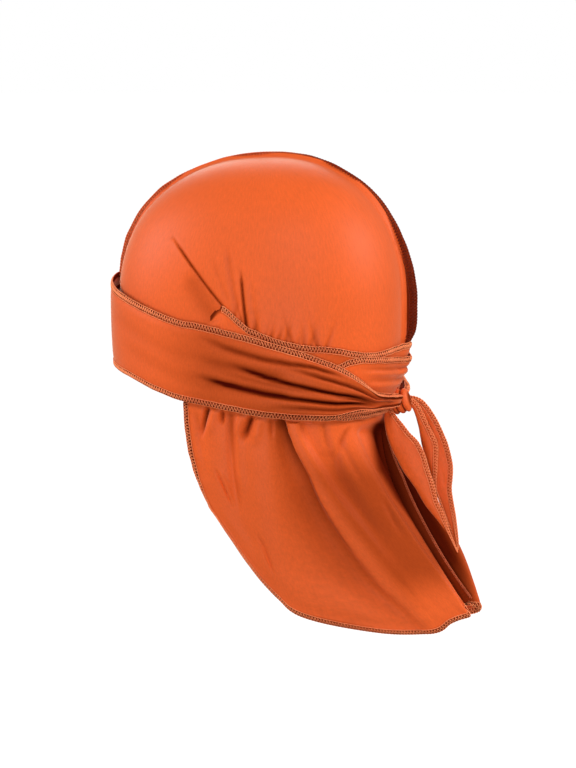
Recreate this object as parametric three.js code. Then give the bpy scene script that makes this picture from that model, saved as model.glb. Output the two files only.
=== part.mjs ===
// A durag: two stretch-knit panels joined by a standing centre seam, with two long ties.
// The ties are wound round the head over the panels and knotted behind; the panels hang on as a cape.
// Millimetres, +Z up. The face looks toward -Y and the wearer's left side is +X.
// The origin is the middle of the head inside the cap, at the level where the head is widest.
// A turn is an angle round the head: 0 at the forehead, 90 at the ear, 180 at the nape.

import * as THREE from "three";

// Driving dimensions: the hollow for the head
const HEAD_WIDTH = 152;
const HEAD_LENGTH = 196;
const CROWN_RISE = 97;
const HEAD_DROP = 190;
const NAPE_START = 23;
const NAPE_TUCK = 1.45;
const HEM_LEVEL = -54;
const HEM_FALL = 0.13;

// Driving dimensions: the cloth
const CLOTH = 1.0;
const PLY_GAP = 0.3;
const STRAP_WIDTH = 64;
const GATHER_HEIGHT = 2.2;
const PLEAT_DEPTH = 1.6;
const PLEAT_WIDTH = 5;

// Driving dimensions: the seam, the cape, the knot and the loose ends
const SEAM_HEIGHT = 8.5;
const SEAM_THICKNESS = 2.4;
const SEAM_SWAY = 1.6;
const CAPE_LENGTH = 154;
const CAPE_SEAM_HEIGHT = 7;
const FAR_BULGE = 10;
const KNOT_SPAN = 16;
const KNOT_DEPTH = 11;
const KNOT_HEIGHT = 17;
const TAIL_LENGTH = 112;
const TAIL_WIDTH = 17;
const TAIL_CURL = 2.4;

// Proportions of the head form and the fineness of the facets
const ROUNDNESS = 2.25;
const BACK_FULLNESS = 0.06;
const FOREHEAD_SLOPE = 0.05;
const TURN_STEP = 6;
const CAPE_ROWS = 10;
const PLY = CLOTH + PLY_GAP;

// The edges of each turn of a tie: heights are shares of STRAP_WIDTH above the origin,
// ply counts the layers of cloth that it lies on, and bunch is its thickness in layers.
const LEFT_FIRST = [
  { turn: 66, top: -0.3, bottom: -0.8, ply: 1 },
  { turn: 76, top: -0.1, bottom: -0.85, ply: 1 },
  { turn: 84, top: 0.05, bottom: -0.9, ply: 1 },
  { turn: 92, top: -0.06, bottom: -0.92, ply: 1 },
  { turn: 97, top: -0.15, bottom: -0.94, ply: 1 },
  { turn: 103, top: -0.21, bottom: -0.96, ply: 1 },
  { turn: 118, top: -0.32, bottom: -1.0, ply: 1 },
  { turn: 137, top: -0.38, bottom: -1.04, ply: 1 },
  { turn: 151, top: -0.45, bottom: -1.05, ply: 1 },
  { turn: 174, top: -0.415, bottom: -1.05, ply: 1 },
  { turn: 190, top: -0.42, bottom: -1.08, ply: 1 },
  { turn: 210, top: -0.47, bottom: -1.1, ply: 1 },
  { turn: 232, top: -0.86, bottom: -1.12, ply: 1 },
  { turn: 250, top: -0.86, bottom: -1.1, ply: 2 },
  { turn: 262, top: -0.6, bottom: -1.0, ply: 2 },
  { turn: 286, top: -0.3, bottom: -0.93, ply: 2 },
];
const RIGHT_FIRST = [
  { turn: 66, top: -0.3, bottom: -0.8, ply: 1 },
  { turn: 76, top: -0.1, bottom: -0.85, ply: 1 },
  { turn: 84, top: 0.05, bottom: -0.86, ply: 1 },
  { turn: 92, top: -0.06, bottom: -0.84, ply: 1 },
  { turn: 103, top: -0.21, bottom: -0.81, ply: 1 },
  { turn: 110, top: -0.27, bottom: -0.8, ply: 1 },
  { turn: 128, top: -0.36, bottom: -0.8, ply: 2 },
  { turn: 136, top: -0.42, bottom: -1.04, ply: 2 },
  { turn: 150, top: -0.5, bottom: -1.14, ply: 2 },
  { turn: 180, top: -0.56, bottom: -1.145, ply: 2 },
  { turn: 200, top: -0.515, bottom: -1.145, ply: 2 },
  { turn: 216, top: -0.49, bottom: -1.14, ply: 2 },
  { turn: 225, top: -0.56, bottom: -1.12, ply: 2 },
  { turn: 238, top: -0.58, bottom: -1.05, ply: 2 },
  { turn: 250, top: -0.44, bottom: -1.01, ply: 2 },
  { turn: 270, top: -0.33, bottom: -0.96, ply: 2 },
  { turn: 298, top: -0.22, bottom: -0.88, ply: 2 },
  { turn: 326, top: -0.04, bottom: -0.7, ply: 2 },
  { turn: 360, top: 0.14, bottom: -0.62, ply: 2 },
  { turn: 396, top: -0.12, bottom: -0.68, ply: 2 },
];
const LEFT_LAST = [
  { turn: -72, top: -0.22, bottom: -0.92, ply: 2, bunch: 1 },
  { turn: -60, top: -0.1, bottom: -0.88, ply: 2, bunch: 1 },
  { turn: -45, top: 0.02, bottom: -0.8, ply: 2.8, bunch: 1 },
  { turn: -30, top: 0.13, bottom: -0.74, ply: 3.7, bunch: 1 },
  { turn: -14, top: 0.22, bottom: -0.7, ply: 4.3, bunch: 1 },
  { turn: 0, top: 0.265, bottom: -0.675, ply: 4.3, bunch: 1 },
  { turn: 14, top: 0.205, bottom: -0.7, ply: 4.3, bunch: 1 },
  { turn: 34, top: 0.085, bottom: -0.765, ply: 3.9, bunch: 1 },
  { turn: 49, top: -0.022, bottom: -0.867, ply: 3.4, bunch: 1 },
  { turn: 62, top: -0.106, bottom: -0.945, ply: 3, bunch: 1 },
  { turn: 75, top: -0.144, bottom: -0.983, ply: 3, bunch: 1 },
  { turn: 89, top: -0.205, bottom: -1.03, ply: 3, bunch: 1 },
  { turn: 103, top: -0.278, bottom: -1.073, ply: 3, bunch: 1 },
  { turn: 122, top: -0.408, bottom: -1.11, ply: 3, bunch: 1 },
  { turn: 136, top: -0.552, bottom: -1.122, ply: 3, bunch: 1 },
  { turn: 145, top: -0.69, bottom: -1.085, ply: 3, bunch: 1.4 },
  { turn: 154, top: -0.85, bottom: -1.08, ply: 3, bunch: 2.2 },
  { turn: 161, top: -0.9, bottom: -1.08, ply: 3, bunch: 3 },
  { turn: 175, top: -0.95, bottom: -1.1, ply: 3, bunch: 4 },
];
const RIGHT_LAST = [
  { turn: 2, top: -0.655, bottom: -0.7, bunch: 1 },
  { turn: 14, top: -0.5, bottom: -0.72, bunch: 1 },
  { turn: 28, top: -0.2, bottom: -0.76, bunch: 1 },
  { turn: 40, top: -0.01, bottom: -0.81, bunch: 1 },
  { turn: 50, top: 0.02, bottom: -0.87, bunch: 1 },
  { turn: 62, top: -0.09, bottom: -0.945, bunch: 1 },
  ...LEFT_LAST.filter((row) => row.turn >= 75),
];

// The pleats that the ties pull into the crown, from a start to an end point on one side:
// out is a share of half the head's width, back of half its length, up of the crown's rise.
const PLEATS = [
  { out: 0.79, back: -0.47, up: 0.49, endOut: 1.0, endBack: -0.06, endUp: 0.04, depth: 1 },
  { out: 0.99, back: 0.05, up: 0.27, endOut: 1.01, endBack: 0.09, endUp: -0.09, depth: 0.7 },
  { out: 0.93, back: -0.04, up: 0.42, endOut: 1.0, endBack: 0.03, endUp: 0.08, depth: 0.4 },
];

// The cape of one panel, a row for each fold. The foot keeps a share of the fold's distance
// from the middle; the other lengths are shares of CAPE_LENGTH: how far the foot is swept
// back, how far it drops, how far the cloth hangs straight first, and how far it puffs out.
const CAPE_FOLDS = [
  { turn: 62, keep: 0.93, sweep: 0.11, drop: 0.475, hang: 0.25, puff: 0 },
  { turn: 75, keep: 0.83, sweep: 0.088, drop: 0.6, hang: 0.23, puff: 0.01 },
  { turn: 88, keep: 0.73, sweep: 0.082, drop: 0.743, hang: 0.25, puff: -0.005 },
  { turn: 99, keep: 0.66, sweep: 0.084, drop: 0.84, hang: 0.28, puff: 0.01 },
  { turn: 106, keep: 0.59, sweep: 0.104, drop: 0.906, hang: 0.28, puff: 0.005 },
  { turn: 110, keep: 0.49, sweep: 0.22, drop: 0.951, hang: 0.26, puff: -0.015 },
  { turn: 113.5, keep: 0.37, sweep: 0.42, drop: 0.985, hang: 0.24, puff: -0.035 },
  { turn: 118, keep: 0.225, sweep: 0.56, drop: 0.985, hang: 0.22, puff: 0.03 },
  { turn: 130, keep: 0.165, sweep: 0.54, drop: 0.935, hang: 0.2, puff: 0.015 },
  { turn: 143, keep: 0.125, sweep: 0.5, drop: 0.905, hang: 0.2, puff: 0.02 },
  { turn: 155, keep: 0.125, sweep: 0.465, drop: 0.885, hang: 0.2, puff: 0.045 },
  { turn: 165, keep: 0.135, sweep: 0.435, drop: 0.87, hang: 0.22, puff: 0.04 },
  { turn: 172, keep: 0.21, sweep: 0.406, drop: 0.864, hang: 0.28, puff: 0.005 },
  { turn: 179, keep: 1, sweep: 0.377, drop: 0.857, hang: 0.35, puff: 0 },
  { turn: 180, keep: 1, sweep: 0.377, drop: 0.857, hang: 0.35, puff: 0 },
];

// Where the right half hangs back, and how the lag is shared along a fold.
const BULGE_TURNS = { from: 108, full: 150, fade: 166, end: 178 };
const HANG_LAG = 0.6;
const REACH_LAG = 1.4;
const FOOT_LAG = 0.2;
const DRAW_IN = 0.12;
const REACH = 0.41;

// The height of the standing seam along the crown, as a share of SEAM_HEIGHT.
const SEAM_RISE = [
  { along: 0, rise: 0.46 },
  { along: 0.12, rise: 0.58 },
  { along: 0.22, rise: 0.42 },
  { along: 0.3, rise: 0.26 },
  { along: 0.42, rise: 0.34 },
  { along: 0.6, rise: 0.36 },
  { along: 0.7, rise: 0.48 },
  { along: 0.8, rise: 0.78 },
  { along: 0.9, rise: 1 },
  { along: 1, rise: 1 },
];

// The loose ends: side and back are where the middle of the end lies, from where it leaves
// the knot, and down how far it has dropped, all as shares of TAIL_LENGTH.
// The width is a share of TAIL_WIDTH.
const LEFT_TAIL = [
  { down: 0, back: 0, side: 0, width: 0.45 },
  { down: 0.1, back: 0.02, side: 0.03, width: 0.8 },
  { down: 0.24, back: 0.08, side: 0.04, width: 1 },
  { down: 0.38, back: 0.155, side: 0.04, width: 0.85 },
  { down: 0.53, back: 0.235, side: 0.035, width: 0.62 },
  { down: 0.68, back: 0.32, side: 0.025, width: 0.42 },
  { down: 0.84, back: 0.39, side: 0.015, width: 0.16 },
];
const RIGHT_TAIL = [
  { down: 0.0, back: 0.0, side: 0, width: 0.4 },
  { down: 0.03, back: 0.07, side: -0.01, width: 0.7 },
  { down: 0.13, back: 0.095, side: -0.02, width: 0.95 },
  { down: 0.29, back: 0.12, side: -0.03, width: 1.05 },
  { down: 0.45, back: 0.15, side: -0.03, width: 0.9 },
  { down: 0.6, back: 0.19, side: -0.02, width: 0.7 },
  { down: 0.76, back: 0.25, side: -0.01, width: 0.5 },
  { down: 0.91, back: 0.31, side: 0, width: 0.2 },
];

const cloth = { color: 0xe25f2d, roughness: 0.72, metalness: 0 };
const thread = { color: 0xb8471f, roughness: 0.85, metalness: 0 };

// Reads a value from a table as a smooth curve through its rows.
function curve(rows, key, at, by = "turn") {
  const last = rows.length - 1;
  if (at <= rows[0][by]) {
    return rows[0][key];
  }
  if (at >= rows[last][by]) {
    return rows[last][key];
  }
  const i = rows.findIndex((row, n) => n < last && at < rows[n + 1][by]);
  const slope = (n) => {
    const before = rows[Math.max(n - 1, 0)];
    const after = rows[Math.min(n + 1, last)];
    return (after[key] - before[key]) / (after[by] - before[by]);
  };
  const span = rows[i + 1][by] - rows[i][by];
  const t = (at - rows[i][by]) / span;
  const t2 = t * t;
  const t3 = t2 * t;
  const start = (2 * t3 - 3 * t2 + 1) * rows[i][key] + (t3 - 2 * t2 + t) * span * slope(i);
  const end = (3 * t2 - 2 * t3) * rows[i + 1][key] + (t3 - t2) * span * slope(i + 1);
  return start + end;
}

// Reads a value from a table by straight lines between its rows.
function line(rows, key, at) {
  const last = rows.length - 1;
  if (at <= rows[0].turn) {
    return rows[0][key];
  }
  if (at >= rows[last].turn) {
    return rows[last][key];
  }
  const i = rows.findIndex((row, n) => n < last && at < rows[n + 1].turn);
  const t = (at - rows[i].turn) / (rows[i + 1].turn - rows[i].turn);
  return THREE.MathUtils.lerp(rows[i][key], rows[i + 1][key], t);
}

// The head form: less than 1 inside the surface that lies lift outside the hollow.
function form(x, y, z, lift) {
  const half = HEAD_LENGTH / 2;
  const below = Math.max(-z / NAPE_START - 1, 0);
  const behind = Math.max(y / half, 0);
  const length = half - NAPE_TUCK * below ** 2 * behind ** 2 + lift;
  const width = HEAD_WIDTH / 2 + lift;
  const rise = CROWN_RISE * (1 + (FOREHEAD_SLOPE * y) / half) + lift;
  const height = z > 0 ? rise : HEAD_DROP + lift;
  const out = Math.abs(x) / (1 + (BACK_FULLNESS * y) / half) / width;
  return out ** ROUNDNESS + Math.abs(y / length) ** ROUNDNESS + Math.abs(z / height) ** ROUNDNESS;
}

// The point where a ray leaves the head form.
function leave(from, direction, lift) {
  let near = 0;
  let far = HEAD_LENGTH;
  const point = new THREE.Vector3();
  for (let step = 0; step < 44; step += 1) {
    const middle = (near + far) / 2;
    point.copy(direction).multiplyScalar(middle).add(from);
    if (form(point.x, point.y, point.z, lift) < 1) {
      near = middle;
    } else {
      far = middle;
    }
  }
  return point;
}

// The point on the head form at a turn and a height.
function skin(turn, z, lift) {
  const angle = THREE.MathUtils.degToRad(turn);
  const outward = new THREE.Vector3(Math.sin(angle), -Math.cos(angle), 0);
  return leave(new THREE.Vector3(0, 0, z), outward, lift);
}

// The point on the tilted line where a panel passes from crown to cape.
function hem(turn, lift) {
  let z = HEM_LEVEL;
  for (let step = 0; step < 12; step += 1) {
    z = HEM_LEVEL - HEM_FALL * skin(turn, z, lift).y;
  }
  return skin(turn, z, lift);
}

// Closes a skin of outer and inner points into a wall, with a rim along each free edge.
function wall(outer, inner, faces) {
  const count = outer.length;
  const index = [];
  const edges = new Map();
  faces.forEach(([a, b, c]) => {
    index.push(a, b, c, c + count, b + count, a + count);
    [[a, b], [b, c], [c, a]].forEach(([p, q]) => edges.set(`${p},${q}`, [p, q]));
  });
  edges.forEach(([p, q]) => {
    if (!edges.has(`${q},${p}`)) {
      index.push(q, p, p + count, q, p + count, q + count);
    }
  });
  return solid([...outer, ...inner], index);
}

// Makes a closed body from points and faces, with its faces turned outward.
function solid(points, index) {
  const at = new Float32Array(points.length * 3);
  points.forEach((p, i) => p.toArray(at, i * 3));
  let volume = 0;
  for (let i = 0; i < index.length; i += 3) {
    const [a, b, c] = [points[index[i]], points[index[i + 1]], points[index[i + 2]]];
    volume += a.dot(new THREE.Vector3().crossVectors(b, c));
  }
  if (volume < 0) {
    index.reverse();
  }
  const geometry = new THREE.BufferGeometry();
  geometry.setAttribute("position", new THREE.BufferAttribute(at, 3));
  geometry.setIndex(index);
  geometry.computeVertexNormals();
  return geometry;
}

// The faces of a grid whose points are numbered by at(column, row).
function weave(columns, rows, at) {
  const faces = [];
  for (let c = 0; c < columns; c += 1) {
    for (let r = 0; r < rows; r += 1) {
      const [a, b, d, e] = [at(c, r), at(c + 1, r), at(c + 1, r + 1), at(c, r + 1)];
      faces.push([a, b, d], [a, d, e]);
    }
  }
  return faces.filter(([a, b, c]) => a !== b && b !== c && c !== a);
}

// Joins closed rings of points into a body with flat ends.
function sweep(rings) {
  const sides = rings[0].length;
  const index = [];
  for (let r = 0; r < rings.length - 1; r += 1) {
    for (let s = 0; s < sides; s += 1) {
      const [a, b] = [r * sides + s, r * sides + ((s + 1) % sides)];
      index.push(a, b, b + sides, a, b + sides, a + sides);
    }
  }
  const end = (rings.length - 1) * sides;
  for (let s = 1; s < sides - 1; s += 1) {
    index.push(0, s + 1, s, end, end + s, end + s + 1);
  }
  return solid(rings.flat(), index);
}

// Where a point of the crown sinks into a pleat, in shares of PLEAT_DEPTH.
function pleat(point) {
  const half = new THREE.Vector3(HEAD_WIDTH / 2, HEAD_LENGTH / 2, CROWN_RISE);
  let sunk = 0;
  PLEATS.forEach((row) => {
    const start = new THREE.Vector3(row.out, row.back, row.up).multiply(half);
    const end = new THREE.Vector3(row.endOut, row.endBack, row.endUp).multiply(half);
    const near = new THREE.Line3(start, end).closestPointToPoint(point, true, new THREE.Vector3());
    sunk += row.depth * Math.exp(-((near.distanceTo(point) / PLEAT_WIDTH) ** 2));
  });
  return sunk;
}

// The lowest edge of the wrapped ties at a turn, where the cape comes free.
function rim(turn) {
  const lowest = Math.min(line(LEFT_LAST, "bottom", turn), line(RIGHT_FIRST, "bottom", 360 - turn));
  return lowest * STRAP_WIDTH - 2 * CLOTH;
}

// The turns at which a panel has a column of points: plain at the front, then the folds.
function columns() {
  const turns = [0, 8, 16, 24, 32, 40, 48, 56];
  CAPE_FOLDS.forEach((row, i) => {
    turns.push(row.turn);
    const next = CAPE_FOLDS[i + 1];
    if (next && next.turn - row.turn > 1) {
      turns.push((row.turn + next.turn) / 2);
    }
  });
  return turns;
}

// How much further back the right half of the cape hangs at a turn, in mm.
function bulge(turn) {
  const { from, full, fade, end } = BULGE_TURNS;
  const grow = THREE.MathUtils.smoothstep(turn, from, full);
  return FAR_BULGE * grow * (1 - THREE.MathUtils.smoothstep(turn, fade, end));
}

// A column of the cape's middle surface, from the rim of the ties to the foot of its fold.
function capeColumn(turn, far) {
  const top = skin(turn, rim(turn), CLOTH / 2);
  const read = (key) => curve(CAPE_FOLDS, key, turn);
  const lag = far ? bulge(turn) : 0;
  const angle = THREE.MathUtils.degToRad(turn);
  const puff = read("puff") * CAPE_LENGTH;
  const foot = new THREE.Vector3(
    top.x * read("keep"),
    top.y + read("sweep") * CAPE_LENGTH + FOOT_LAG * lag,
    top.z - read("drop") * CAPE_LENGTH,
  );
  const hang = top.clone();
  hang.x += Math.sin(angle) * puff - (top.x - foot.x) * DRAW_IN;
  hang.y += -Math.cos(angle) * puff + HANG_LAG * lag;
  hang.z -= read("hang") * CAPE_LENGTH;
  const reach = foot.clone().lerp(hang, REACH);
  reach.y += REACH_LAG * lag;
  return new THREE.CubicBezierCurve3(top, hang, reach, foot).getPoints(CAPE_ROWS);
}

// One panel of the left side: half the crown, and half the cape that hangs on behind.
function panel(far) {
  const front = hem(0, 0);
  const back = hem(180, 0);
  const middle = front.clone().add(back).multiplyScalar(0.5);
  const axis = back.clone().sub(front).normalize();
  const across = new THREE.Vector3(1, 0, 0);
  const up = new THREE.Vector3().crossVectors(across, axis);
  const climbs = [0, 12, 22, 30, 37, 44, 51, 58, 67, 78, 90];
  const turns = columns();
  const outer = [];
  const inner = [];
  const add = (out, inn) => {
    outer.push(out);
    inner.push(inn);
    return outer.length - 1;
  };
  const midline = PLY_GAP / 2;
  const crown = turns.map((turn, c) => climbs.map((climb, r) => {
    const pole = c === 0 || c === turns.length - 1;
    if (pole && r > 0) {
      return -1;
    }
    const start = hem(turn, 0).sub(middle);
    const along = Math.atan2(start.dot(across), -start.dot(axis));
    const lean = THREE.MathUtils.degToRad(climb);
    const direction = axis.clone().multiplyScalar(-Math.cos(along));
    direction.addScaledVector(across, Math.sin(along) * Math.cos(lean));
    direction.addScaledVector(up, Math.sin(along) * Math.sin(lean));
    const sunk = -PLEAT_DEPTH * pleat(leave(middle, direction, 0));
    const [out, inn] = [leave(middle, direction, CLOTH + sunk), leave(middle, direction, sunk)];
    if (pole || r === climbs.length - 1) {
      out.x = midline;
      inn.x = midline;
    }
    return add(out, inn);
  }));
  const at = (c, r) => (crown[c][r] < 0 ? crown[c][0] : crown[c][r]);
  const faces = weave(turns.length - 1, climbs.length - 1, at);

  const first = turns.indexOf(CAPE_FOLDS[0].turn);
  const hanging = turns.slice(first);
  const middles = hanging.map((turn) => capeColumn(turn, far));
  const cape = hanging.map((turn, c) => {
    const seam = c === hanging.length - 1;
    const list = [crown[first + c][0]];
    const start = hem(turn, 0);
    [(start.z + rim(turn)) / 2, rim(turn)].forEach((z) => {
      const [out, inn] = [skin(turn, z, CLOTH), skin(turn, z, 0)];
      list.push(add(out, inn));
    });
    middles[c].forEach((point, r) => {
      if (r > 0) {
        const beside = middles[Math.min(c + 1, middles.length - 1)][r].clone();
        beside.sub(middles[Math.max(c - 1, 0)][r]);
        const below = middles[c][Math.min(r + 1, CAPE_ROWS)].clone().sub(middles[c][r - 1]);
        const normal = below.cross(beside);
        if (seam) {
          normal.x = 0;
        }
        normal.normalize().multiplyScalar(-CLOTH / 2);
        list.push(add(point.clone().sub(normal), point.clone().add(normal)));
      }
    });
    if (seam) {
      list.forEach((i) => {
        outer[i].x = midline;
        inner[i].x = midline;
      });
    }
    return list;
  });
  faces.push(...weave(hanging.length - 1, CAPE_ROWS + 2, (c, r) => cape[c][r])
    .map(([a, b, c]) => [a, c, b]));
  return wall(outer, inner, faces);
}

// A turn of a tie round the head, from its table of edges.
function wrap(rows, options) {
  const { ply, folds, rise } = options;
  const [start, end] = [rows[0].turn, rows[rows.length - 1].turn];
  const turns = [start];
  for (let turn = Math.ceil((start + 1) / TURN_STEP) * TURN_STEP; turn < end - 1; turn += TURN_STEP) {
    turns.push(turn);
  }
  turns.push(end);
  const outer = [];
  const inner = [];
  turns.forEach((turn) => {
    const top = curve(rows, "top", turn) * STRAP_WIDTH;
    const bottom = curve(rows, "bottom", turn) * STRAP_WIDTH;
    const thick = CLOTH * (rows[0].bunch ? curve(rows, "bunch", turn) : 1);
    for (let r = 0; r <= folds; r += 1) {
      const z = THREE.MathUtils.lerp(top, bottom, r / folds);
      const fold = r % 2 === 1 ? GATHER_HEIGHT * rise(turn) : 0;
      outer.push(skin(turn, z, ply(turn) * PLY + thick + fold));
      inner.push(skin(turn, z, ply(turn) * PLY + Math.max(fold - thick + CLOTH, 0)));
    }
  });
  const faces = weave(turns.length - 1, folds, (c, r) => c * (folds + 1) + r);
  return wall(outer, inner, faces);
}

// The middle of the knot, where it just clears the ties that lie under it at the nape.
function seatKnot(level) {
  let y = 0;
  for (let angle = -80; angle <= 80; angle += 10) {
    const lean = THREE.MathUtils.degToRad(angle);
    const z = level + (Math.sin(lean) * KNOT_HEIGHT) / 2;
    y = Math.max(y, skin(180, z, 3 * PLY + PLY_GAP).y + (Math.cos(lean) * KNOT_DEPTH) / 2);
  }
  return new THREE.Vector3(0, y, level);
}

// The knot: a barrel of cloth wound across the nape, with shallow grooves between its folds.
function knot(centre) {
  const rings = [];
  const sides = 14;
  const stations = 12;
  for (let i = 0; i <= stations; i += 1) {
    const share = (2 * i) / stations - 1;
    const round = Math.sqrt(1 - 0.62 * share ** 4);
    const groove = 1 - 0.06 * (1 - Math.cos(share * Math.PI * 3)) * 0.5;
    const ring = [];
    for (let s = 0; s < sides; s += 1) {
      const angle = (s / sides) * Math.PI * 2;
      ring.push(new THREE.Vector3(
        centre.x + (share * KNOT_SPAN) / 2,
        centre.y + (Math.cos(angle) * round * groove * KNOT_DEPTH) / 2,
        centre.z + (Math.sin(angle) * round * groove * KNOT_HEIGHT) / 2,
      ));
    }
    rings.push(ring);
  }
  return sweep(rings);
}

// The serged seam that stands on the crown, from the forehead tie to the first tie behind.
function crownSeam() {
  const front = hem(0, 0);
  const back = hem(180, 0);
  const middle = front.clone().add(back).multiplyScalar(0.5);
  const axis = back.clone().sub(front).normalize();
  const up = new THREE.Vector3().crossVectors(new THREE.Vector3(1, 0, 0), axis);
  const toward = (angle) => up.clone().multiplyScalar(Math.sin(angle))
    .addScaledVector(axis, -Math.cos(angle));
  const reach = (z, low, high) => {
    let [a, b] = [low, high];
    for (let step = 0; step < 40; step += 1) {
      const m = (a + b) / 2;
      if (leave(middle, toward(m), 0).z < z) {
        a = m;
      } else {
        b = m;
      }
    }
    return a;
  };
  const tuck = 6 * CLOTH;
  const start = reach(curve(LEFT_LAST, "top", 0) * STRAP_WIDTH - tuck, 0, Math.PI / 2);
  const end = reach(curve(LEFT_FIRST, "top", 180) * STRAP_WIDTH + PLY, Math.PI, Math.PI / 2);
  const rings = [];
  const stations = 40;
  for (let i = 0; i <= stations; i += 1) {
    const share = i / stations;
    const direction = toward(THREE.MathUtils.lerp(start, end, share));
    const foot = leave(middle, direction, PLY);
    const tip = leave(middle, direction, PLY + SEAM_HEIGHT * curve(SEAM_RISE, "rise", share, "along"));
    const sway = SEAM_SWAY * Math.sin(share * Math.PI * 11) * Math.sin(share * Math.PI);
    const ring = [];
    [[1, 0], [1, 0.5], [1, 1], [-1, 1], [-1, 0.5], [-1, 0]].forEach(([side, rise]) => {
      const point = foot.clone().lerp(tip, rise);
      point.x = (side * SEAM_THICKNESS) / 2 + sway * rise * rise;
      ring.push(point);
    });
    rings.push(ring);
  }
  return sweep(rings);
}

// The same seam where it stands in the valley between the two halves of the cape.
function capeSeam() {
  const spine = capeColumn(180, false);
  const rings = [];
  spine.forEach((point, i) => {
    if (i === 0) {
      return;
    }
    const before = spine[i - 1];
    const after = spine[Math.min(i + 1, spine.length - 1)];
    const run = after.clone().sub(before).normalize();
    const outward = new THREE.Vector3(0, -run.z, run.y);
    const height = CAPE_SEAM_HEIGHT * Math.min(1, 0.3 + i * 0.25);
    const sway = SEAM_SWAY * Math.sin(i * 0.9);
    const base = CLOTH / 2 + PLY_GAP;
    const ring = [];
    [[0.5, 0], [1, 0.4], [1, 1], [-1, 1], [-1, 0.4], [-0.5, 0]].forEach(([side, rise]) => {
      const at = point.clone().addScaledVector(outward, base + rise * height);
      at.x = (side * SEAM_THICKNESS) / 2 + sway * rise * rise;
      ring.push(at);
    });
    rings.push(ring);
  });
  return sweep(rings);
}

// A loose end of a tie: a strip folded along its length that narrows to its tip.
function tail(rows, start, curl) {
  const stations = 14;
  const strips = 5;
  const outer = [];
  const inner = [];
  const last = rows[rows.length - 1].down;
  const middle = (down) => new THREE.Vector3(
    start.x + curve(rows, "side", down, "down") * TAIL_LENGTH,
    start.y + curve(rows, "back", down, "down") * TAIL_LENGTH,
    start.z - down * TAIL_LENGTH,
  );
  for (let i = 0; i <= stations; i += 1) {
    const down = (last * i) / stations;
    const run = middle(Math.min(down + 0.02, last)).sub(middle(Math.max(down - 0.02, 0)));
    const across = new THREE.Vector3(0, -run.z, run.y).normalize();
    const width = curve(rows, "width", down, "down") * TAIL_WIDTH;
    for (let s = 0; s <= strips; s += 1) {
      const share = s / strips - 0.5;
      const point = middle(down).addScaledVector(across, share * width);
      point.x += curl * TAIL_CURL * Math.cos(share * Math.PI * 2) * Math.min(1, width / TAIL_WIDTH);
      outer.push(point.clone().setX(point.x + CLOTH / 2));
      inner.push(point.clone().setX(point.x - CLOTH / 2));
    }
  }
  const faces = weave(stations, strips, (c, r) => c * (strips + 1) + r);
  return wall(outer, inner, faces);
}

const durag = new THREE.Group();

function place(name, geometry, finish, mirrored = false) {
  if (mirrored) {
    geometry.scale(-1, 1, 1);
    geometry.setIndex([...geometry.index.array].reverse());
    geometry.computeVertexNormals();
  }
  const mesh = new THREE.Mesh(geometry, new THREE.MeshStandardMaterial(finish));
  mesh.name = name;
  durag.add(mesh);
}

const gather = (turn) => THREE.MathUtils.smoothstep(turn, 98, 150);
const flat = () => 0;
const leftPly = (turn) => line(LEFT_LAST, "ply", turn);
const rightPly = (turn) => Math.max(3, leftPly(-turn) + 1);

place("panel_left", panel(false), cloth);
place("panel_right", panel(true), cloth, true);
place("crown_seam", crownSeam(), thread);
place("cape_seam", capeSeam(), thread);

const firstLeft = { ply: (turn) => line(LEFT_FIRST, "ply", turn), folds: 5, rise: flat };
const firstRight = { ply: (turn) => line(RIGHT_FIRST, "ply", turn), folds: 5, rise: flat };
place("strap_left_first_turn", wrap(LEFT_FIRST, firstLeft), cloth);
place("strap_right_first_turn", wrap(RIGHT_FIRST, firstRight), cloth, true);

const knotCentre = seatKnot(-1.03 * STRAP_WIDTH);
const throat = Math.asin((KNOT_SPAN / 2 + PLY_GAP) / skin(180, knotCentre.z, 3 * PLY).y);
const knotTurn = 180 - THREE.MathUtils.radToDeg(throat);
const toKnot = (rows) => rows.map((row, i) => (i < rows.length - 1 ? row : { ...row, turn: knotTurn }));
place("strap_left_last_turn", wrap(toKnot(LEFT_LAST), { ply: leftPly, folds: 7, rise: gather }), cloth);
place("strap_right_last_turn", wrap(toKnot(RIGHT_LAST), { ply: rightPly, folds: 7, rise: gather }), cloth, true);
place("knot", knot(knotCentre), cloth);

const under = knotCentre.z - KNOT_HEIGHT / 2 - PLY_GAP;
const behind = knotCentre.y + KNOT_DEPTH / 2 + PLY_GAP;
const leftStart = new THREE.Vector3(0.3 * KNOT_SPAN, knotCentre.y, under);
const rightStart = new THREE.Vector3(-0.15 * KNOT_SPAN, behind + 0.035 * TAIL_WIDTH, knotCentre.z);
place("strap_left_tail", tail(LEFT_TAIL, leftStart, 1), cloth);
place("strap_right_tail", tail(RIGHT_TAIL, rightStart, -1), cloth);

export default durag;
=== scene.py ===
# A durag wound on and tied: two stretch-knit panels with a standing seam, two long ties
# wrapped round them and knotted behind, and the cape that the panels end in.
import math

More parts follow.
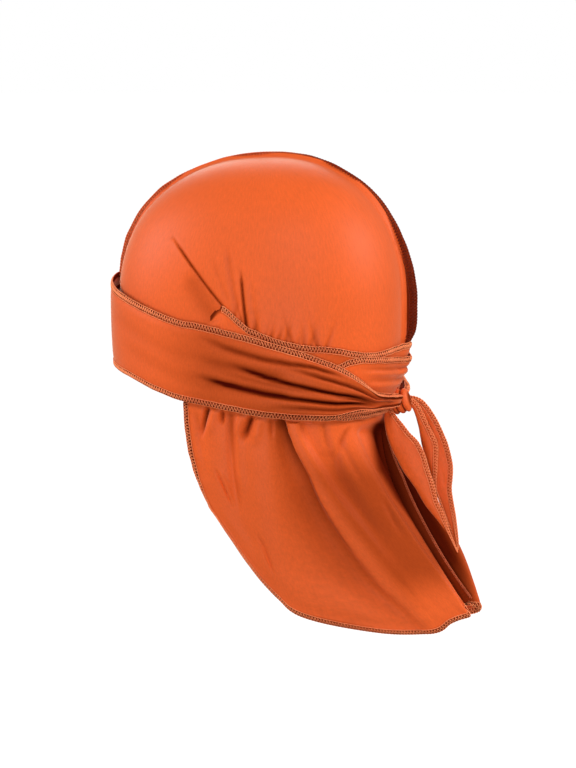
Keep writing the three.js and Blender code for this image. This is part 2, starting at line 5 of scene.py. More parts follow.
import bpy
import numpy as np
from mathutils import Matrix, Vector


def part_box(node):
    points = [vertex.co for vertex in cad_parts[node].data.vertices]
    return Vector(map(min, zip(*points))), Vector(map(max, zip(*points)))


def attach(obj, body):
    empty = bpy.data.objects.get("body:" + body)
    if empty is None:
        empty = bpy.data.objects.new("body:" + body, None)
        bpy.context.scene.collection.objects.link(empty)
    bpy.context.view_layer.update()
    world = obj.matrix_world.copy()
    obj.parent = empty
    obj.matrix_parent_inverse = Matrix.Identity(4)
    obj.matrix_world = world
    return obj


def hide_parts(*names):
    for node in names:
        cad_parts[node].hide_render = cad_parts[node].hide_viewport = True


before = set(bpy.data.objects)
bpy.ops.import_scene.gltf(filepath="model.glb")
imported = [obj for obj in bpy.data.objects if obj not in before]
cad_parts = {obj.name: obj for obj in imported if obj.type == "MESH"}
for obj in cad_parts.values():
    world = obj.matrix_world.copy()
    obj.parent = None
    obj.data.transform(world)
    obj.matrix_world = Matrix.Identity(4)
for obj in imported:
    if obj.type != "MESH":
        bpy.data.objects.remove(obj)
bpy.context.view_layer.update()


# Camera
# The cap is seen from its left side, a little from behind and above, and from far
# enough away that its outline is nearly flat.
AZIMUTH = math.radians(104)
ELEVATION = math.radians(8)
DISTANCE = 1.6
PIXEL = 0.00069
IMAGE_HEIGHT = 768
IMAGE_MIDDLE = (288, 384)
ORIGIN_PIXEL = (262, 300)

back = Vector((
    math.sin(AZIMUTH) * math.cos(ELEVATION),
    -math.cos(AZIMUTH) * math.cos(ELEVATION),
    math.sin(ELEVATION),
))
right = (-back).cross(Vector((0, 0, 1))).normalized()
up = right.cross(-back)
target = right * (IMAGE_MIDDLE[0] - ORIGIN_PIXEL[0]) * PIXEL
target -= up * (IMAGE_MIDDLE[1] - ORIGIN_PIXEL[1]) * PIXEL
camera = bpy.data.objects.new("camera", bpy.data.cameras.new("camera"))
camera.data.lens = camera.data.sensor_width * DISTANCE / (IMAGE_HEIGHT * PIXEL)
camera.location = target + back * DISTANCE
camera.rotation_mode = "QUATERNION"
camera.rotation_quaternion = (-back).to_track_quat("-Z", "Y")
bpy.context.scene.collection.objects.link(camera)
bpy.context.scene.camera = camera


# The two panels
# Each panel is one cloth of smooth polyester stretch knit, cut as half a crown with half a
# cape below it. It is worn stretched tight, and the ties pull creases into its crown.
MM = 0.001
CROWN_WIDTH = 152
CROWN_LENGTH = 196
CROWN_RISE = 97
CROWN_DROP = 190
NAPE_START = 23
NAPE_TUCK = 1.45
ROUNDNESS = 2.25
BACK_FULLNESS = 0.06
FRONT_SLOPE = 0.05
HEM_LEVEL = -54
HEM_FALL = 0.13
CLOTH = 1.0
PLY = 1.3
STRAP_WIDTH = 64
CAPE_LENGTH = 154
FAR_BULGE = 10
FAR_SHIFT = 6
SEAM_HALF = 1.0
LIP = 3.0
LIP_WIDTH = 1.5
CAPE_ROWS = 84
HELD_ROWS = 6
PANEL_RUN = 1.45
CROWN_RUN = 105
TUCKS = 15
TUCK_TURNS = (90, 134)
TUCK_DARK = 0.3
GROOVE_PULL = 6.4
GROOVE_SPINE = 0.55
PANEL_FLAT = (0.20, 0.43)
PANEL_AREA = 0.064
KNIT_COLOUR = (0.74, 0.104, 0.015)
# The knit's colour in painted shade, in its folds and under its serging.
KNIT_SHADE = (0.06, 0.003, 0.001)


def table(columns, *rows):
    """A small table: its named columns, then a row of numbers for each section."""
    return dict(zip(columns.split(), np.array(rows, float).T))


def curve(rows, key, at, by="turn"):
    """Reads a table as a smooth curve through its rows."""
    x, y = rows[by], rows[key]
    i = np.arange(len(x))
    before, after = np.maximum(i - 1, 0), np.minimum(i + 1, len(x) - 1)
    slope = (y[after] - y[before]) / (x[after] - x[before])
    at = np.clip(at, x[0], x[-1])
    n = np.clip(np.searchsorted(x, at, side="right") - 1, 0, len(x) - 2)
    span = x[n + 1] - x[n]
    t = (at - x[n]) / span
    start = (2 * t**3 - 3 * t**2 + 1) * y[n] + (t**3 - 2 * t**2 + t) * span * slope[n]
    end = (3 * t**2 - 2 * t**3) * y[n + 1] + (t**3 - t**2) * span * slope[n + 1]
    return start + end


def smooth(value, low, high):
    """Rises from 0 at low to 1 at high."""
    t = np.clip((value - low) / (high - low), 0, 1)
    return t * t * (3 - 2 * t)


def window(value, low, open_from, open_to, high):
    """Rises from 0 at low to 1 at open_from, and falls from 1 at open_to to 0 at high."""
    return smooth(value, low, open_from) * (1 - smooth(value, open_to, high))


def bell(off, width):
    """1 on a line, falling off smoothly over a width on either side of it."""
    return np.exp(-((off / width) ** 2))


def unit(vectors):
    """The vectors at length 1."""
    return vectors / np.maximum(np.linalg.norm(vectors, axis=-1, keepdims=True), 1e-9)


def form(points, lift):
    """Less than 1 inside the surface that lies lift outside the crown's rounded form."""
    x, y, z = np.abs(points[..., 0]), points[..., 1], points[..., 2]
    half = CROWN_LENGTH / 2
    below = np.maximum(-z / NAPE_START - 1, 0)
    behind = np.maximum(y / half, 0)
    length = half - NAPE_TUCK * below**2 * behind**2 + lift
    rise = CROWN_RISE * (1 + FRONT_SLOPE * y / half) + lift
    height = np.where(z > 0, rise, CROWN_DROP + lift)
    out = x / (1 + BACK_FULLNESS * y / half) / (CROWN_WIDTH / 2 + lift)
    return out**ROUNDNESS + np.abs(y / length) ** ROUNDNESS + np.abs(z / height) ** ROUNDNESS


HALVINGS = 34
HEM_STEPS = 12


def leave(start, direction, lift):
    """Where rays from start leave the surface that lies lift outside that form."""
    near = np.zeros(np.broadcast_shapes(direction.shape[:-1], start.shape[:-1], np.shape(lift)))
    far = near + CROWN_LENGTH
    for _ in range(HALVINGS):
        middle = (near + far) / 2
        inside = form(start + direction * middle[..., None], lift) < 1
        near = np.where(inside, middle, near)
        far = np.where(inside, far, middle)
    return start + direction * near[..., None]


def skin(turn, z, lift):
    """The point on that surface at a turn from the front, in degrees, and a height."""
    turn, z = np.broadcast_arrays(np.asarray(turn, float), np.asarray(z, float))
    angle = np.radians(turn)
    nothing = np.zeros_like(z)
    outward = np.stack([np.sin(angle), -np.cos(angle), nothing], axis=-1)
    return leave(np.stack([nothing, nothing, z], axis=-1), outward, lift)


def hem(turn, lift):
    """The tilted line where a panel passes from crown to cape."""
    z = np.full(np.shape(turn), float(HEM_LEVEL))
    for _ in range(HEM_STEPS):
        z = HEM_LEVEL - HEM_FALL * skin(turn, z, lift)[..., 1]
    return skin(turn, z, lift)


def ripple(u, v, size, seed):
    """Soft uneven waves of about that size, between -1 and 1."""
    draw = np.random.default_rng(seed)
    total = 0
    for _ in range(6):
        heading, phase = draw.uniform(0, 2 * np.pi, 2)
        wave = size * draw.uniform(0.7, 1.5)
        total = total + np.sin(
            2 * np.pi * (u * np.cos(heading) + v * np.sin(heading)) / wave + phase
        )
    return total / 6


LEFT_FIRST = table(
    "turn top bottom ply",
    (66, -0.3, -0.8, 1), (76, -0.1, -0.85, 1), (84, 0.05, -0.9, 1), (92, -0.06, -0.92, 1),
    (97, -0.15, -0.94, 1), (103, -0.21, -0.96, 1), (118, -0.32, -1.0, 1), (137, -0.38, -1.04, 1),
    (151, -0.45, -1.05, 1), (174, -0.415, -1.05, 1), (190, -0.42, -1.08, 1), (210, -0.47, -1.1, 1),
    (232, -0.86, -1.12, 1), (250, -0.86, -1.1, 2), (262, -0.6, -1.0, 2), (286, -0.3, -0.93, 2),
)
RIGHT_FIRST = table(
    "turn top bottom ply",
    (66, -0.3, -0.8, 1), (76, -0.1, -0.85, 1), (84, 0.05, -0.86, 1), (92, -0.06, -0.84, 1),
    (103, -0.21, -0.81, 1), (110, -0.27, -0.8, 1), (128, -0.36, -0.8, 2), (136, -0.42, -1.04, 2),
    (150, -0.5, -1.14, 2), (180, -0.56, -1.145, 2), (200, -0.515, -1.145, 2),
    (216, -0.49, -1.14, 2), (225, -0.56, -1.12, 2), (238, -0.58, -1.05, 2), (250, -0.44, -1.01, 2),
    (270, -0.33, -0.96, 2), (298, -0.22, -0.88, 2), (326, -0.04, -0.7, 2), (360, 0.14, -0.62, 2),
    (396, -0.12, -0.68, 2),
)
LEFT_LAST = table(
    "turn top bottom ply bunch",
    (-72, -0.22, -0.92, 2, 1), (-60, -0.1, -0.88, 2, 1), (-45, 0.02, -0.8, 2.8, 1),
    (-30, 0.13, -0.74, 3.7, 1), (-14, 0.22, -0.7, 4.3, 1), (0, 0.265, -0.675, 4.3, 1),
    (14, 0.205, -0.7, 4.3, 1), (34, 0.085, -0.765, 3.9, 1), (49, -0.022, -0.867, 3.4, 1),
    (62, -0.106, -0.945, 3, 1), (75, -0.144, -0.983, 3, 1), (89, -0.205, -1.03, 3, 1),
    (103, -0.278, -1.073, 3, 1), (122, -0.408, -1.11, 3, 1), (136, -0.552, -1.122, 3, 1),
    (145, -0.69, -1.085, 3, 1.4), (154, -0.85, -1.08, 3, 2.2), (161, -0.9, -1.08, 3, 3),
    (175, -0.95, -1.1, 3, 4),
)
CAPE_FOLDS = table(
    "turn keep sweep drop hang puff",
    (62, 0.93, 0.11, 0.475, 0.25, 0), (75, 0.83, 0.088, 0.6, 0.23, 0.01),
    (88, 0.73, 0.082, 0.743, 0.25, -0.005), (99, 0.66, 0.084, 0.84, 0.28, 0.01),
    (106, 0.59, 0.104, 0.906, 0.28, 0.005), (110, 0.49, 0.22, 0.951, 0.26, -0.015),
    (113.5, 0.37, 0.42, 0.985, 0.24, -0.035), (118, 0.225, 0.56, 0.985, 0.22, 0.03),
    (130, 0.165, 0.54, 0.935, 0.2, 0.015), (143, 0.125, 0.5, 0.905, 0.2, 0.02),
    (155, 0.125, 0.465, 0.885, 0.2, 0.045), (165, 0.135, 0.435, 0.87, 0.22, 0.04),
    (172, 0.21, 0.406, 0.864, 0.28, 0.005), (179, 1, 0.377, 0.857, 0.35, 0),
    (180, 1, 0.377, 0.857, 0.35, 0),
)
# Creases that the ties pull into the crown, in mm back and up from the origin on one side:
# groove is how deep the line is, roll how far the cloth in front of it stands up, and
# dark how much painted shade lies along it.
CROWN_CREASES = table(
    "back up end_back end_up groove width roll dark",
    (-48, 50, -5, 1, 1.5, 0.85, 0.75, 0.8),
    (5, 28, 9, -9, 1.6, 0.95, 0.4, 0.9),
    (-5, 44, 3, 2, 0.9, 2.6, 0.3, 0.12),
    (-14, 34, -3, 6, 0.55, 2.0, 0.2, 0.08),
    (-33, 24, -12, -6, 1.3, 7.0, 0, 0.3),
    (12, 24, 14, -14, 0.35, 2.4, 0.1, 0.03),
)
# Creases in the cape: turn and lean in degrees, from and to as shares of its length, and
# depth and width in mm. A crease with less than no depth stands up.
CAPE_CREASES = table(
    "turn lean begin end depth width",
    (75.5, -24, 0.0, 0.24, 3.6, 1.9), (79.5, -20, 0.0, 0.2, -1.8, 3.0),
    (83.5, -8, 0.0, 0.1, 2.6, 1.5), (99.2, -38, 0.0, 0.16, 3.8, 2.2),
    (103.5, -22, 0.0, 0.16, -1.6, 3.0), (94, -30, 0.0, 0.14, -1.2, 2.6),
    (88, -5, 0.0, 0.7, 1.8, 3.6), (92, -5, 0.02, 0.6, -1.2, 4.2),
    (69, 4, 0.06, 0.55, 0.9, 3.0), (109, 2, 0.0, 0.12, 1.8, 1.6),
    (134, -10, 0.0, 0.3, 1.0, 2.6), (147.7, -60, 0.05, 0.32, 1.6, 2.4),
    (139.7, 0, 0.12, 0.4, 1.2, 2.6), (133, -8, 0.2, 0.62, 1.5, 5.0),
    (156, -24, 0.44, 0.62, 1.3, 2.2), (66, 26, 0.42, 0.64, 1.4, 1.3),
    (70, 24, 0.4, 0.6, -0.9, 1.5), (79, 24, 0.66, 0.86, 1.3, 1.4), (86, 16, 0.66, 0.84, 1.1, 1.5),
)
# The cape's long fold: its ridge and the line in front of it, as turns, with the depth of
# the valley in front, its width and the rise of the ridge in mm, and how dark its painted shade is in
# the valley.
MAIN_FOLD = table(
    "down ridge front valley width rise behind dark",
    (0, 122, 116.3, 5.0, 2.6, 2.2, 2.0, 0.9), (0.12, 122.6, 117.2, 5.2, 3.2, 2.4, 2.0, 0.8),
    (0.27, 123.6, 117.5, 5.0, 5.0, 2.6, 1.9, 0.5), (0.4, 123.1, 116.4, 4.8, 7.0, 2.6, 1.8, 0.5),
    (0.55, 124.3, 115.9, 4.8, 9.0, 2.4, 1.0, 0.42), (0.67, 124, 116.1, 4.8, 10, 2.2, 0.1, 0.38),
    (0.77, 122.6, 116.2, 4.4, 10, 2.0, -0.6, 0.3), (0.88, 122.2, 117.1, 2.6, 8.0, 1.4, -0.6, 0.16),
    (1, 121.6, 117.4, 0.4, 6.0, 0.6, -0.2, 0),
)


def grid_faces(at, flip=False):
    """The faces of a grid of point numbers; corners that share a point become triangles."""
    a, b, c, d = at[:-1, :-1], at[1:, :-1], at[1:, 1:], at[:-1, 1:]
    quads = np.stack([a, b, c, d], axis=-1).reshape(-1, 4).tolist()
    faces = [list(dict.fromkeys(q)) for q in quads]
    return [f[::-1] if flip else f for f in faces if len(f) > 2]


def mesh_object(name, points, faces, material, marks=None, smooth_below=50):
    """A closed mesh with its faces turned outward, from points in millimetres."""
    corners = np.array([(f[0], f[i], f[i + 1]) for f in faces for i in range(1, len(f) - 1)])
    a, b, c = (points[corners[:, k]] for k in range(3))
    if (a * np.cross(b, c)).sum() < 0:
        faces = [f[::-1] for f in faces]
    mesh = bpy.data.meshes.new(name)
    mesh.from_pydata((points * MM).tolist(), [], faces)
    mesh.shade_smooth()
    mesh.set_sharp_from_angle(angle=math.radians(smooth_below))
    for key, values in (marks or {}).items():
        kind = "FLOAT_VECTOR" if values.ndim == 2 else "FLOAT"
        layer = mesh.attributes.new(key, kind, "POINT")
        field = "vector" if values.ndim == 2 else "value"
        layer.data.foreach_set(field, values.astype(np.float32).ravel())
    mesh.materials.append(material)
    piece = bpy.data.objects.new(name, mesh)
    bpy.context.scene.collection.objects.link(piece)
    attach(piece, "root")
    return piece


def numbered(grid):
    """The point numbers of a grid of points."""
    return np.arange(grid.shape[0] * grid.shape[1]).reshape(grid.shape[:2])


def sided(far):
    """What turns a piece worked out for the near side to its own side."""
    return np.array([-1, 1, 1]) if far else np.array([1, 1, 1])


def cloth(name, outer, inner, faces, material, marks):
    """A wall of cloth between its outer and inner points, closed along each free edge."""
    count = len(outer)
    rim = {}
    for f in faces:
        for i, p in enumerate(f):
            rim[(p, f[(i + 1) % len(f)])] = True
    closed = list(faces) + [[p + count for p in reversed(f)] for f in faces]
    for p, q in rim:
        if (q, p) not in rim:
            closed.append([q, p, p + count, q + count])
    both = {key: np.concatenate([values, values]) for key, values in marks.items()}
    return mesh_object(name, np.concatenate([outer, inner]), closed, material, both)


def sheet_of_cloth(name, outer, inner, material, marks):
    """A wall of cloth from its two grids of points, with its marks as grids too."""
    flat = {key: grid.reshape(-1, 3) if grid.ndim == 3 else grid.ravel() for key, grid in marks.items()}
    points = outer.reshape(-1, 3), inner.reshape(-1, 3)
    return cloth(name, *points, grid_faces(numbered(outer)), material, flat)


def under_thread(from_edge, width):
    """1 where a thread of that width binds the edge, 0 beyond it."""
    return 1 - smooth(from_edge, width - 0.6, width + 0.5)


def crown_relief(points, far):
    """How far the cloth of the crown stands out of its smooth form, in mm, and the painted shade along
    its creases.
    """
    y, z = points[..., 1], points[..., 2]
    shift = FAR_SHIFT if far else 0
    relief = 0.12 * ripple(y, z, 46, 11 + shift)
    # The painted shade along the creases.
    closed = 0 * relief
    rows = CROWN_CREASES
    for i in range(len(rows["back"])):
        start = np.array([rows["back"][i] + shift, rows["up"][i]])
        run = np.array([rows["end_back"][i] + shift, rows["end_up"][i]]) - start
        long = np.linalg.norm(run)
        run = run / long
        along = ((y - start[0]) * run[0] + (z - start[1]) * run[1]) / long
        off = (y - start[0]) * -run[1] + (z - start[1]) * run[0]
        shown = window(along, -0.04, 0.3, 0.94, 1.12)
        width = rows["width"][i] * (0.55 + 0.45 * shown)
        line = bell(off, width)
        relief = relief - shown * rows["groove"][i] * line
        relief = relief + shown * rows["roll"][i] * bell(off + 2.3 * width, 1.6 * width)
        closed = np.maximum(closed, shown * rows["dark"][i] * line)
    return relief, closed


LAST_TURN_SHOWS = 170


def ties_top(turn, far):
    """The highest edge of the ties that lie on a panel at a turn."""
    own, other = (RIGHT_FIRST, LEFT_FIRST) if far else (LEFT_FIRST, RIGHT_FIRST)
    around = 360 - turn
    first = np.where(turn >= own["turn"][0], curve(own, "top", turn), -1)
    last = np.where(turn <= LAST_TURN_SHOWS, curve(LEFT_LAST, "top", turn), -1)
    crossed = np.where(around <= other["turn"][-1], curve(other, "top", around), -1)
    return np.maximum(np.maximum(first, last), crossed) * STRAP_WIDTH


def gathers(turn, above, seed, count, first, last):
    """The small tucks that stand on a tie's upper edge, as depth in mm."""
    draw = np.random.default_rng(seed)
    depth = 0
    for i in range(count):
        middle = first + (last - first) * (i + draw.uniform(0.2, 0.8)) / count
        long, slant, deep = draw.uniform(5, 12), draw.uniform(-0.3, 0.35), draw.uniform(0.4, 1.25)
        off = (turn - middle - slant * above) / draw.uniform(0.7, 1.2)
        depth = depth + deep * np.exp(-(off**2)) * np.exp(-((np.maximum(above, 0) / long) ** 1.5))
    return depth


# The crown's rows, as leans from the hem up to the seam, closest where creases cross them.
CROWN_LEANS = np.concatenate([
    np.linspace(0, 22, 11)[:-1], np.linspace(22, 63, 89)[:-1], np.linspace(63, 90, 27),
])
ACROSS = np.array([1.0, 0, 0])


def hem_frame():
    """The middle of the hem, the way back along it, and the way up from it."""
    front, behind = hem(np.array([0.0]), 0)[0], hem(np.array([180.0]), 0)[0]
    axis = unit(behind - front)
    return (front + behind) / 2, axis, np.cross(ACROSS, axis)


def crown(turns, far):
    """Outer and inner points of the crown, a column for each turn, from the hem to the seam."""
    middle, axis, upward = hem_frame()
    start = hem(turns, 0) - middle
    along = np.arctan2(start @ ACROSS, -(start @ axis))[:, None, None]
    lean = np.radians(CROWN_LEANS)[None, :, None]
    direction = -np.cos(along) * axis + np.sin(along) * (np.cos(lean) * ACROSS + np.sin(lean) * upward)
    base = leave(middle, direction, 0)
    turn = np.degrees(np.arctan2(base[..., 0], -base[..., 1]))
    above = base[..., 2] - ties_top(turn, far)
    relief, closed = crown_relief(base, far)
    relief = np.where(relief > 0, relief * smooth(above, 0, 5), relief)
    tucks = gathers(turn, above, 21 if far else 3, TUCKS, *TUCK_TURNS) * smooth(above, -14, -1)
    lip = LIP * np.exp(-np.maximum(base[..., 0] - SEAM_HALF, 0) / LIP_WIDTH)
    relief = relief - tucks
    outer = leave(middle, direction, CLOTH + relief + lip)
    inner = leave(middle, direction, relief + lip)
    outer[..., 0] = np.maximum(outer[..., 0], SEAM_HALF)
    inner[..., 0] = np.maximum(inner[..., 0], SEAM_HALF)
    upward_run = np.broadcast_to(lean[..., 0] * CROWN_RUN, turn.shape)
    run = np.stack([turn * PANEL_RUN, upward_run, 0 * turn], axis=-1)
    # The creases and the tucks carry painted shade.
    return outer, inner, run, np.clip(closed + TUCK_DARK * tucks, 0, 1)


def rim(turn):
    """The level just below the ties at a turn, where the cape comes free."""
    lowest = np.minimum(
        np.interp(turn, LEFT_LAST["turn"], LEFT_LAST["bottom"]),
        np.interp(360 - turn, RIGHT_FIRST["turn"], RIGHT_FIRST["bottom"]),
    )
    return lowest * STRAP_WIDTH - 2 * CLOTH


# The far half hangs back by these shares of its bulge, at its foot and along its fall.
FOOT_LAG = 0.2
HANG_LAG = 0.6
REACH_LAG = 1.4
# How far a column's lower bend lies from its foot towards its upper bend.
REACH = 0.41


def cape_columns(turns, far):
    """The middle surface of the cape, a column for each turn, from the ties to its foot."""
    top = skin(turns, rim(turns), CLOTH / 2)
    read = {key: curve(CAPE_FOLDS, key, turns) for key in CAPE_FOLDS}
    lag = FAR_BULGE * window(turns, 108, 150, 166, 178) if far else 0 * turns
    puff = read["puff"] * CAPE_LENGTH
    angle = np.radians(turns)
    foot = np.stack([
        top[:, 0] * read["keep"],
        top[:, 1] + read["sweep"] * CAPE_LENGTH + FOOT_LAG * lag,
        top[:, 2] - read["drop"] * CAPE_LENGTH,
    ], axis=1)
    hang = top + np.stack([
        np.sin(angle) * puff - (top[:, 0] - foot[:, 0]) * 0.12,
        -np.cos(angle) * puff + HANG_LAG * lag,
        -read["hang"] * CAPE_LENGTH,
    ], axis=1)
    reach = foot + (hang - foot) * REACH
    reach[:, 1] += REACH_LAG * lag
    t = np.linspace(0, 1, CAPE_ROWS + 1)[None, :, None]
    top, hang, reach, foot = (p[:, None, :] for p in (top, hang, reach, foot))
    middle = (1 - t) ** 3 * top + 3 * (1 - t) ** 2 * t * hang
    middle = middle + 3 * (1 - t) * t**2 * reach + t**3 * foot
    own = smooth(turns, 176, 179) if far else smooth(turns, 146, 157)
    pull = own * (1 - (1 - GROOVE_SPINE) * smooth(turns, 172, 178))
    middle[..., 1] -= GROOVE_PULL * pull[:, None] * smooth(t[..., 0], 0, 0.1)
    return middle


def cape_relief(middle, turn, down, far):
    """The small creases of the cape, in mm out of its large folds, and the painted shade in those
    creases and in the valley in front of its long ridge.
    """
    relief = 0.35 * ripple(turn * 1.2, down * CAPE_LENGTH, 30, 5 + far) * smooth(down, 0.05, 0.3)
    near_hem = bell(1 - down, 0.12) + bell(turn - CAPE_FOLDS["turn"][0], 5)
    relief = relief + 0.4 * ripple(turn * 1.2, down * CAPE_LENGTH, 12, 8 + far) * near_hem
    closed = 0 * relief
    gaps = np.linalg.norm(np.diff(middle, axis=0, prepend=middle[:1]), axis=2)
    place = np.cumsum(gaps, axis=0)
    columns = turn[:, 0]
    at = np.arange(turn.shape[1])

    def place_of(turns):
        low = np.clip(np.searchsorted(columns, turns) - 1, 0, len(columns) - 2)
        part = (turns - columns[low]) / (columns[low + 1] - columns[low])
        return place[low, at] * (1 - part) + place[low + 1, at] * part

    rows = CAPE_CREASES
    for i in range(len(rows["turn"])):
        off = (place - place_of(rows["turn"][i] + rows["lean"][i] * down[0])) / rows["width"][i]
        begin, end = rows["begin"][i], rows["end"][i]
        shown = window(down, begin - 0.03, begin + 0.03, (begin + end) / 2, end)
        relief = relief - shown * rows["depth"][i] * np.exp(-(off**2))
        # Painted shade in each crease, the more the deeper it is.
        dark = np.clip(rows["depth"][i] / 4, 0, 1) * np.exp(-((1.3 * off) ** 2))
        closed = np.maximum(closed, shown * dark * (1 - smooth(down, 0.05, 0.3)))
    rows = {key: curve(MAIN_FOLD, key, down[0], by="down") for key in MAIN_FOLD}
    ridge, front = place_of(rows["ridge"]), place_of(rows["front"])
    before, after = np.minimum(place - front, 0) / rows["width"], np.maximum(place - ridge, 0) / 5
    relief = relief + rows["valley"] * before * np.exp(1 + before)
    across = (place - (ridge + front) / 2) / np.maximum((ridge - front) * 0.62, 1)
    relief = relief + rows["rise"] * np.exp(-(across**2) ** 1.5)
    relief = relief - rows["behind"] * after * np.exp(1 - after)
    line = bell(place - front, 1.2) * window(down, 0.15, 0.3, 0.55, 0.7)
    relief = relief - 0.7 * line
    # Painted shade in the valley in front of the long ridge and along the line in front of it.
    wedge = rows["dark"] * np.clip(-before * np.exp(1 + before), 0, 1)
    closed = np.maximum(closed, np.maximum(wedge, 0.45 * line))
    return relief, closed


# Where painted shade starts on the near half towards the valley between the halves, how much
# painted shade each half has behind the cape's long fold, and half the gap between the halves along
# their seam, in mm.
GROOVE_SHADE_STARTS = table(
    "down turn",
    (0.05, 166), (0.15, 164), (0.3, 156), (0.45, 158), (0.6, 163), (0.74, 169), (0.88, 171),
)
NEAR_SHADE = 0.54
FAR_SHADE = 0.35
SPINE_HALF = 0.15


def cape(turns, far):
    """Outer and inner points of the cape, from just below the hem to its foot."""
    start = hem(turns, 0)[:, 2]
    low = rim(turns)
    shares = np.linspace(0, 1, HELD_ROWS + 2)[1:-1]
    levels = start[:, None] + (low - start)[:, None] * shares
    held = skin(turns[:, None], levels, CLOTH / 2)
    free = cape_columns(turns, far)
    middle = np.concatenate([held, free], axis=1)
    normal = np.cross(np.gradient(middle, axis=1), np.gradient(middle, axis=0))
    normal[-1, :, 0] = 0
    normal = unit(normal)
    down = np.concatenate([np.zeros(len(shares)), np.linspace(0, 1, CAPE_ROWS + 1)])[None, :]
    turn = turns[:, None] + 0 * down
    relief, closed = cape_relief(middle, turn, down + 0 * turn, far)
    relief = relief * (1 - smooth(turn, 172, 178)) * smooth(down, -0.001, 0.012)
    # Painted shade in the valley between the halves and behind the long fold, less of it towards the
    # foot.
    starts = np.interp(down, GROOVE_SHADE_STARTS["down"], GROOVE_SHADE_STARTS["turn"])
    groove = smooth(turn - starts, -9, 6)
    shade = NEAR_SHADE * smooth(turn, 116.5, 123) * (1 - smooth(down, 0.74, 0.92))
    shade = shade * smooth(down, 0.1, 0.36)
    if far:
        groove, shade = smooth(turn, 161, 171), FAR_SHADE * smooth(turn, 140, 156)
    groove = np.maximum(groove, shade)
    closed = np.maximum(closed, groove * smooth(down, 0, 0.05)) * (1 - 0.4 * smooth(down, 0.7, 1))
    half = normal * CLOTH / 2
    raised = middle + normal * relief[..., None]
    outer, inner = raised + half, raised - half
    outer[-1, :, 0] = SPINE_HALF
    inner[-1, :, 0] = SPINE_HALF
    run = np.stack([turn * PANEL_RUN, -down * CAPE_LENGTH + 0 * turn, 0 * turn], axis=-1)
    return outer, inner, run, np.clip(closed, 0, 1)


# The knit's ribs and rows of loops, in mm, and its finish: how far it turns to its painted
# shade colour in a fold and under its thread, and how it shines outside that painted shade.
WALE = 0.8
COURSE = 0.62
FOLD_SHADE = 0.96
EDGE_SHADE = 0.88
KNIT_GLOSS = 0.22
KNIT_SHEEN = 0.46


# Shader groups for the cloth: the knitted stitches, and the soft unevenness of dyed yarn.
def shader_group(name, inputs, outputs):
    """An empty node group with those inputs and outputs."""
    group = bpy.data.node_groups.new(name, "ShaderNodeTree")
    for socket, kind, value in inputs:
        made = group.interface.new_socket(socket, in_out="INPUT", socket_type=f"NodeSocket{kind}")
        if value is not None:
            made.default_value = value
    for socket, kind in outputs:
        group.interface.new_socket(socket, in_out="OUTPUT", socket_type=f"NodeSocket{kind}")
    return group, group.nodes.new("NodeGroupInput"), group.nodes.new("NodeGroupOutput")


def maths(tree, operation, a, b=None, c=None):
    """A Math node on links or numbers, and its output."""
    node = tree.nodes.new("ShaderNodeMath")
    node.operation = operation
    for i, value in enumerate((a, b, c)):
        if isinstance(value, (int, float)):
            node.inputs[i].default_value = value
        elif value is not None:
            tree.links.new(value, node.inputs[i])
    return node.outputs[0]


def mixed(tree, mode, factor, a, b):
    """A colour mix of two links or colours, and its output."""
    node = tree.nodes.new("ShaderNodeMix")
    node.data_type = "RGBA"
    node.blend_type = mode
    for socket, value in ((node.inputs[0], factor), (node.inputs[6], a), (node.inputs[7], b)):
        if isinstance(value, (int, float)):
            socket.default_value = value
        elif isinstance(value, tuple):
            socket.default_value = (*value, 1)
        else:
            tree.links.new(value, socket)
    return node.outputs[2]


def noise(tree, place, scale, detail=3, rough=0.5):
    """A noise texture at a place, and its value."""
    node = tree.nodes.new("ShaderNodeTexNoise")
    node.inputs["Scale"].default_value = scale
    node.inputs["Detail"].default_value = detail
    node.inputs["Roughness"].default_value = rough
    tree.links.new(place, node.inputs["Vector"])
    return node.outputs["Fac"]


stitches, given, result = shader_group(
    "knitted stitches",
    [("Run", "Vector", None), ("Wale", "Float", WALE), ("Course", "Float", COURSE)],
    [("Height", "Float"), ("Streak", "Float")],
)
parts = stitches.nodes.new("ShaderNodeSeparateXYZ")
stitches.links.new(given.outputs["Run"], parts.inputs[0])
wale = maths(stitches, "DIVIDE", parts.outputs[0], given.outputs["Wale"])
course = maths(stitches, "DIVIDE", parts.outputs[1], given.outputs["Course"])
slope = maths(stitches, "PINGPONG", wale, 0.5)
phase = maths(stitches, "MULTIPLY", maths(stitches, "ADD", course, slope), 2 * math.pi)
rows_of_loops = maths(stitches, "SINE", phase)
ribs = maths(stitches, "ABSOLUTE", maths(stitches, "SINE", maths(stitches, "MULTIPLY", wale, math.pi)))
height = maths(stitches, "MULTIPLY_ADD", rows_of_loops, 0.25, ribs)
stitches.links.new(height, result.inputs["Height"])
narrow = stitches.nodes.new("ShaderNodeVectorMath")
narrow.operation = "MULTIPLY"
narrow.inputs[1].default_value = (0.9, 0.28, 1)
stitches.links.new(given.outputs["Run"], narrow.inputs[0])
stitches.links.new(noise(stitches, narrow.outputs[0], 1.0, 2, 0.6), result.inputs["Streak"])

dye, given, result = shader_group(
    "uneven dye",
    [("Place", "Vector", None), ("Depth", "Float", 0.1)],
    [("Tone", "Float"), ("Grain", "Float")],
)
broad = noise(dye, given.outputs["Place"], 22, 2)
fine = noise(dye, given.outputs["Place"], 900, 2, 0.6)
tone = maths(dye, "MULTIPLY_ADD", maths(dye, "SUBTRACT", broad, 0.5), given.outputs["Depth"], 1.0)
tone = maths(dye, "MULTIPLY_ADD", maths(dye, "SUBTRACT", fine, 0.5), given.outputs["Depth"], tone)
dye.links.new(tone, result.inputs["Tone"])
dye.links.new(fine, result.inputs["Grain"])


def new_material(name):
    """A material with its Principled shader."""
    made = bpy.data.materials.new(name)
    made.use_nodes = True
    return made, made.node_tree, made.node_tree.nodes["Principled BSDF"]


def read_mark(tree, name, output):
    """A value that the mesh carries at each point."""
    node = tree.nodes.new("ShaderNodeAttribute")
    node.attribute_name = name
    return node.outputs[output]


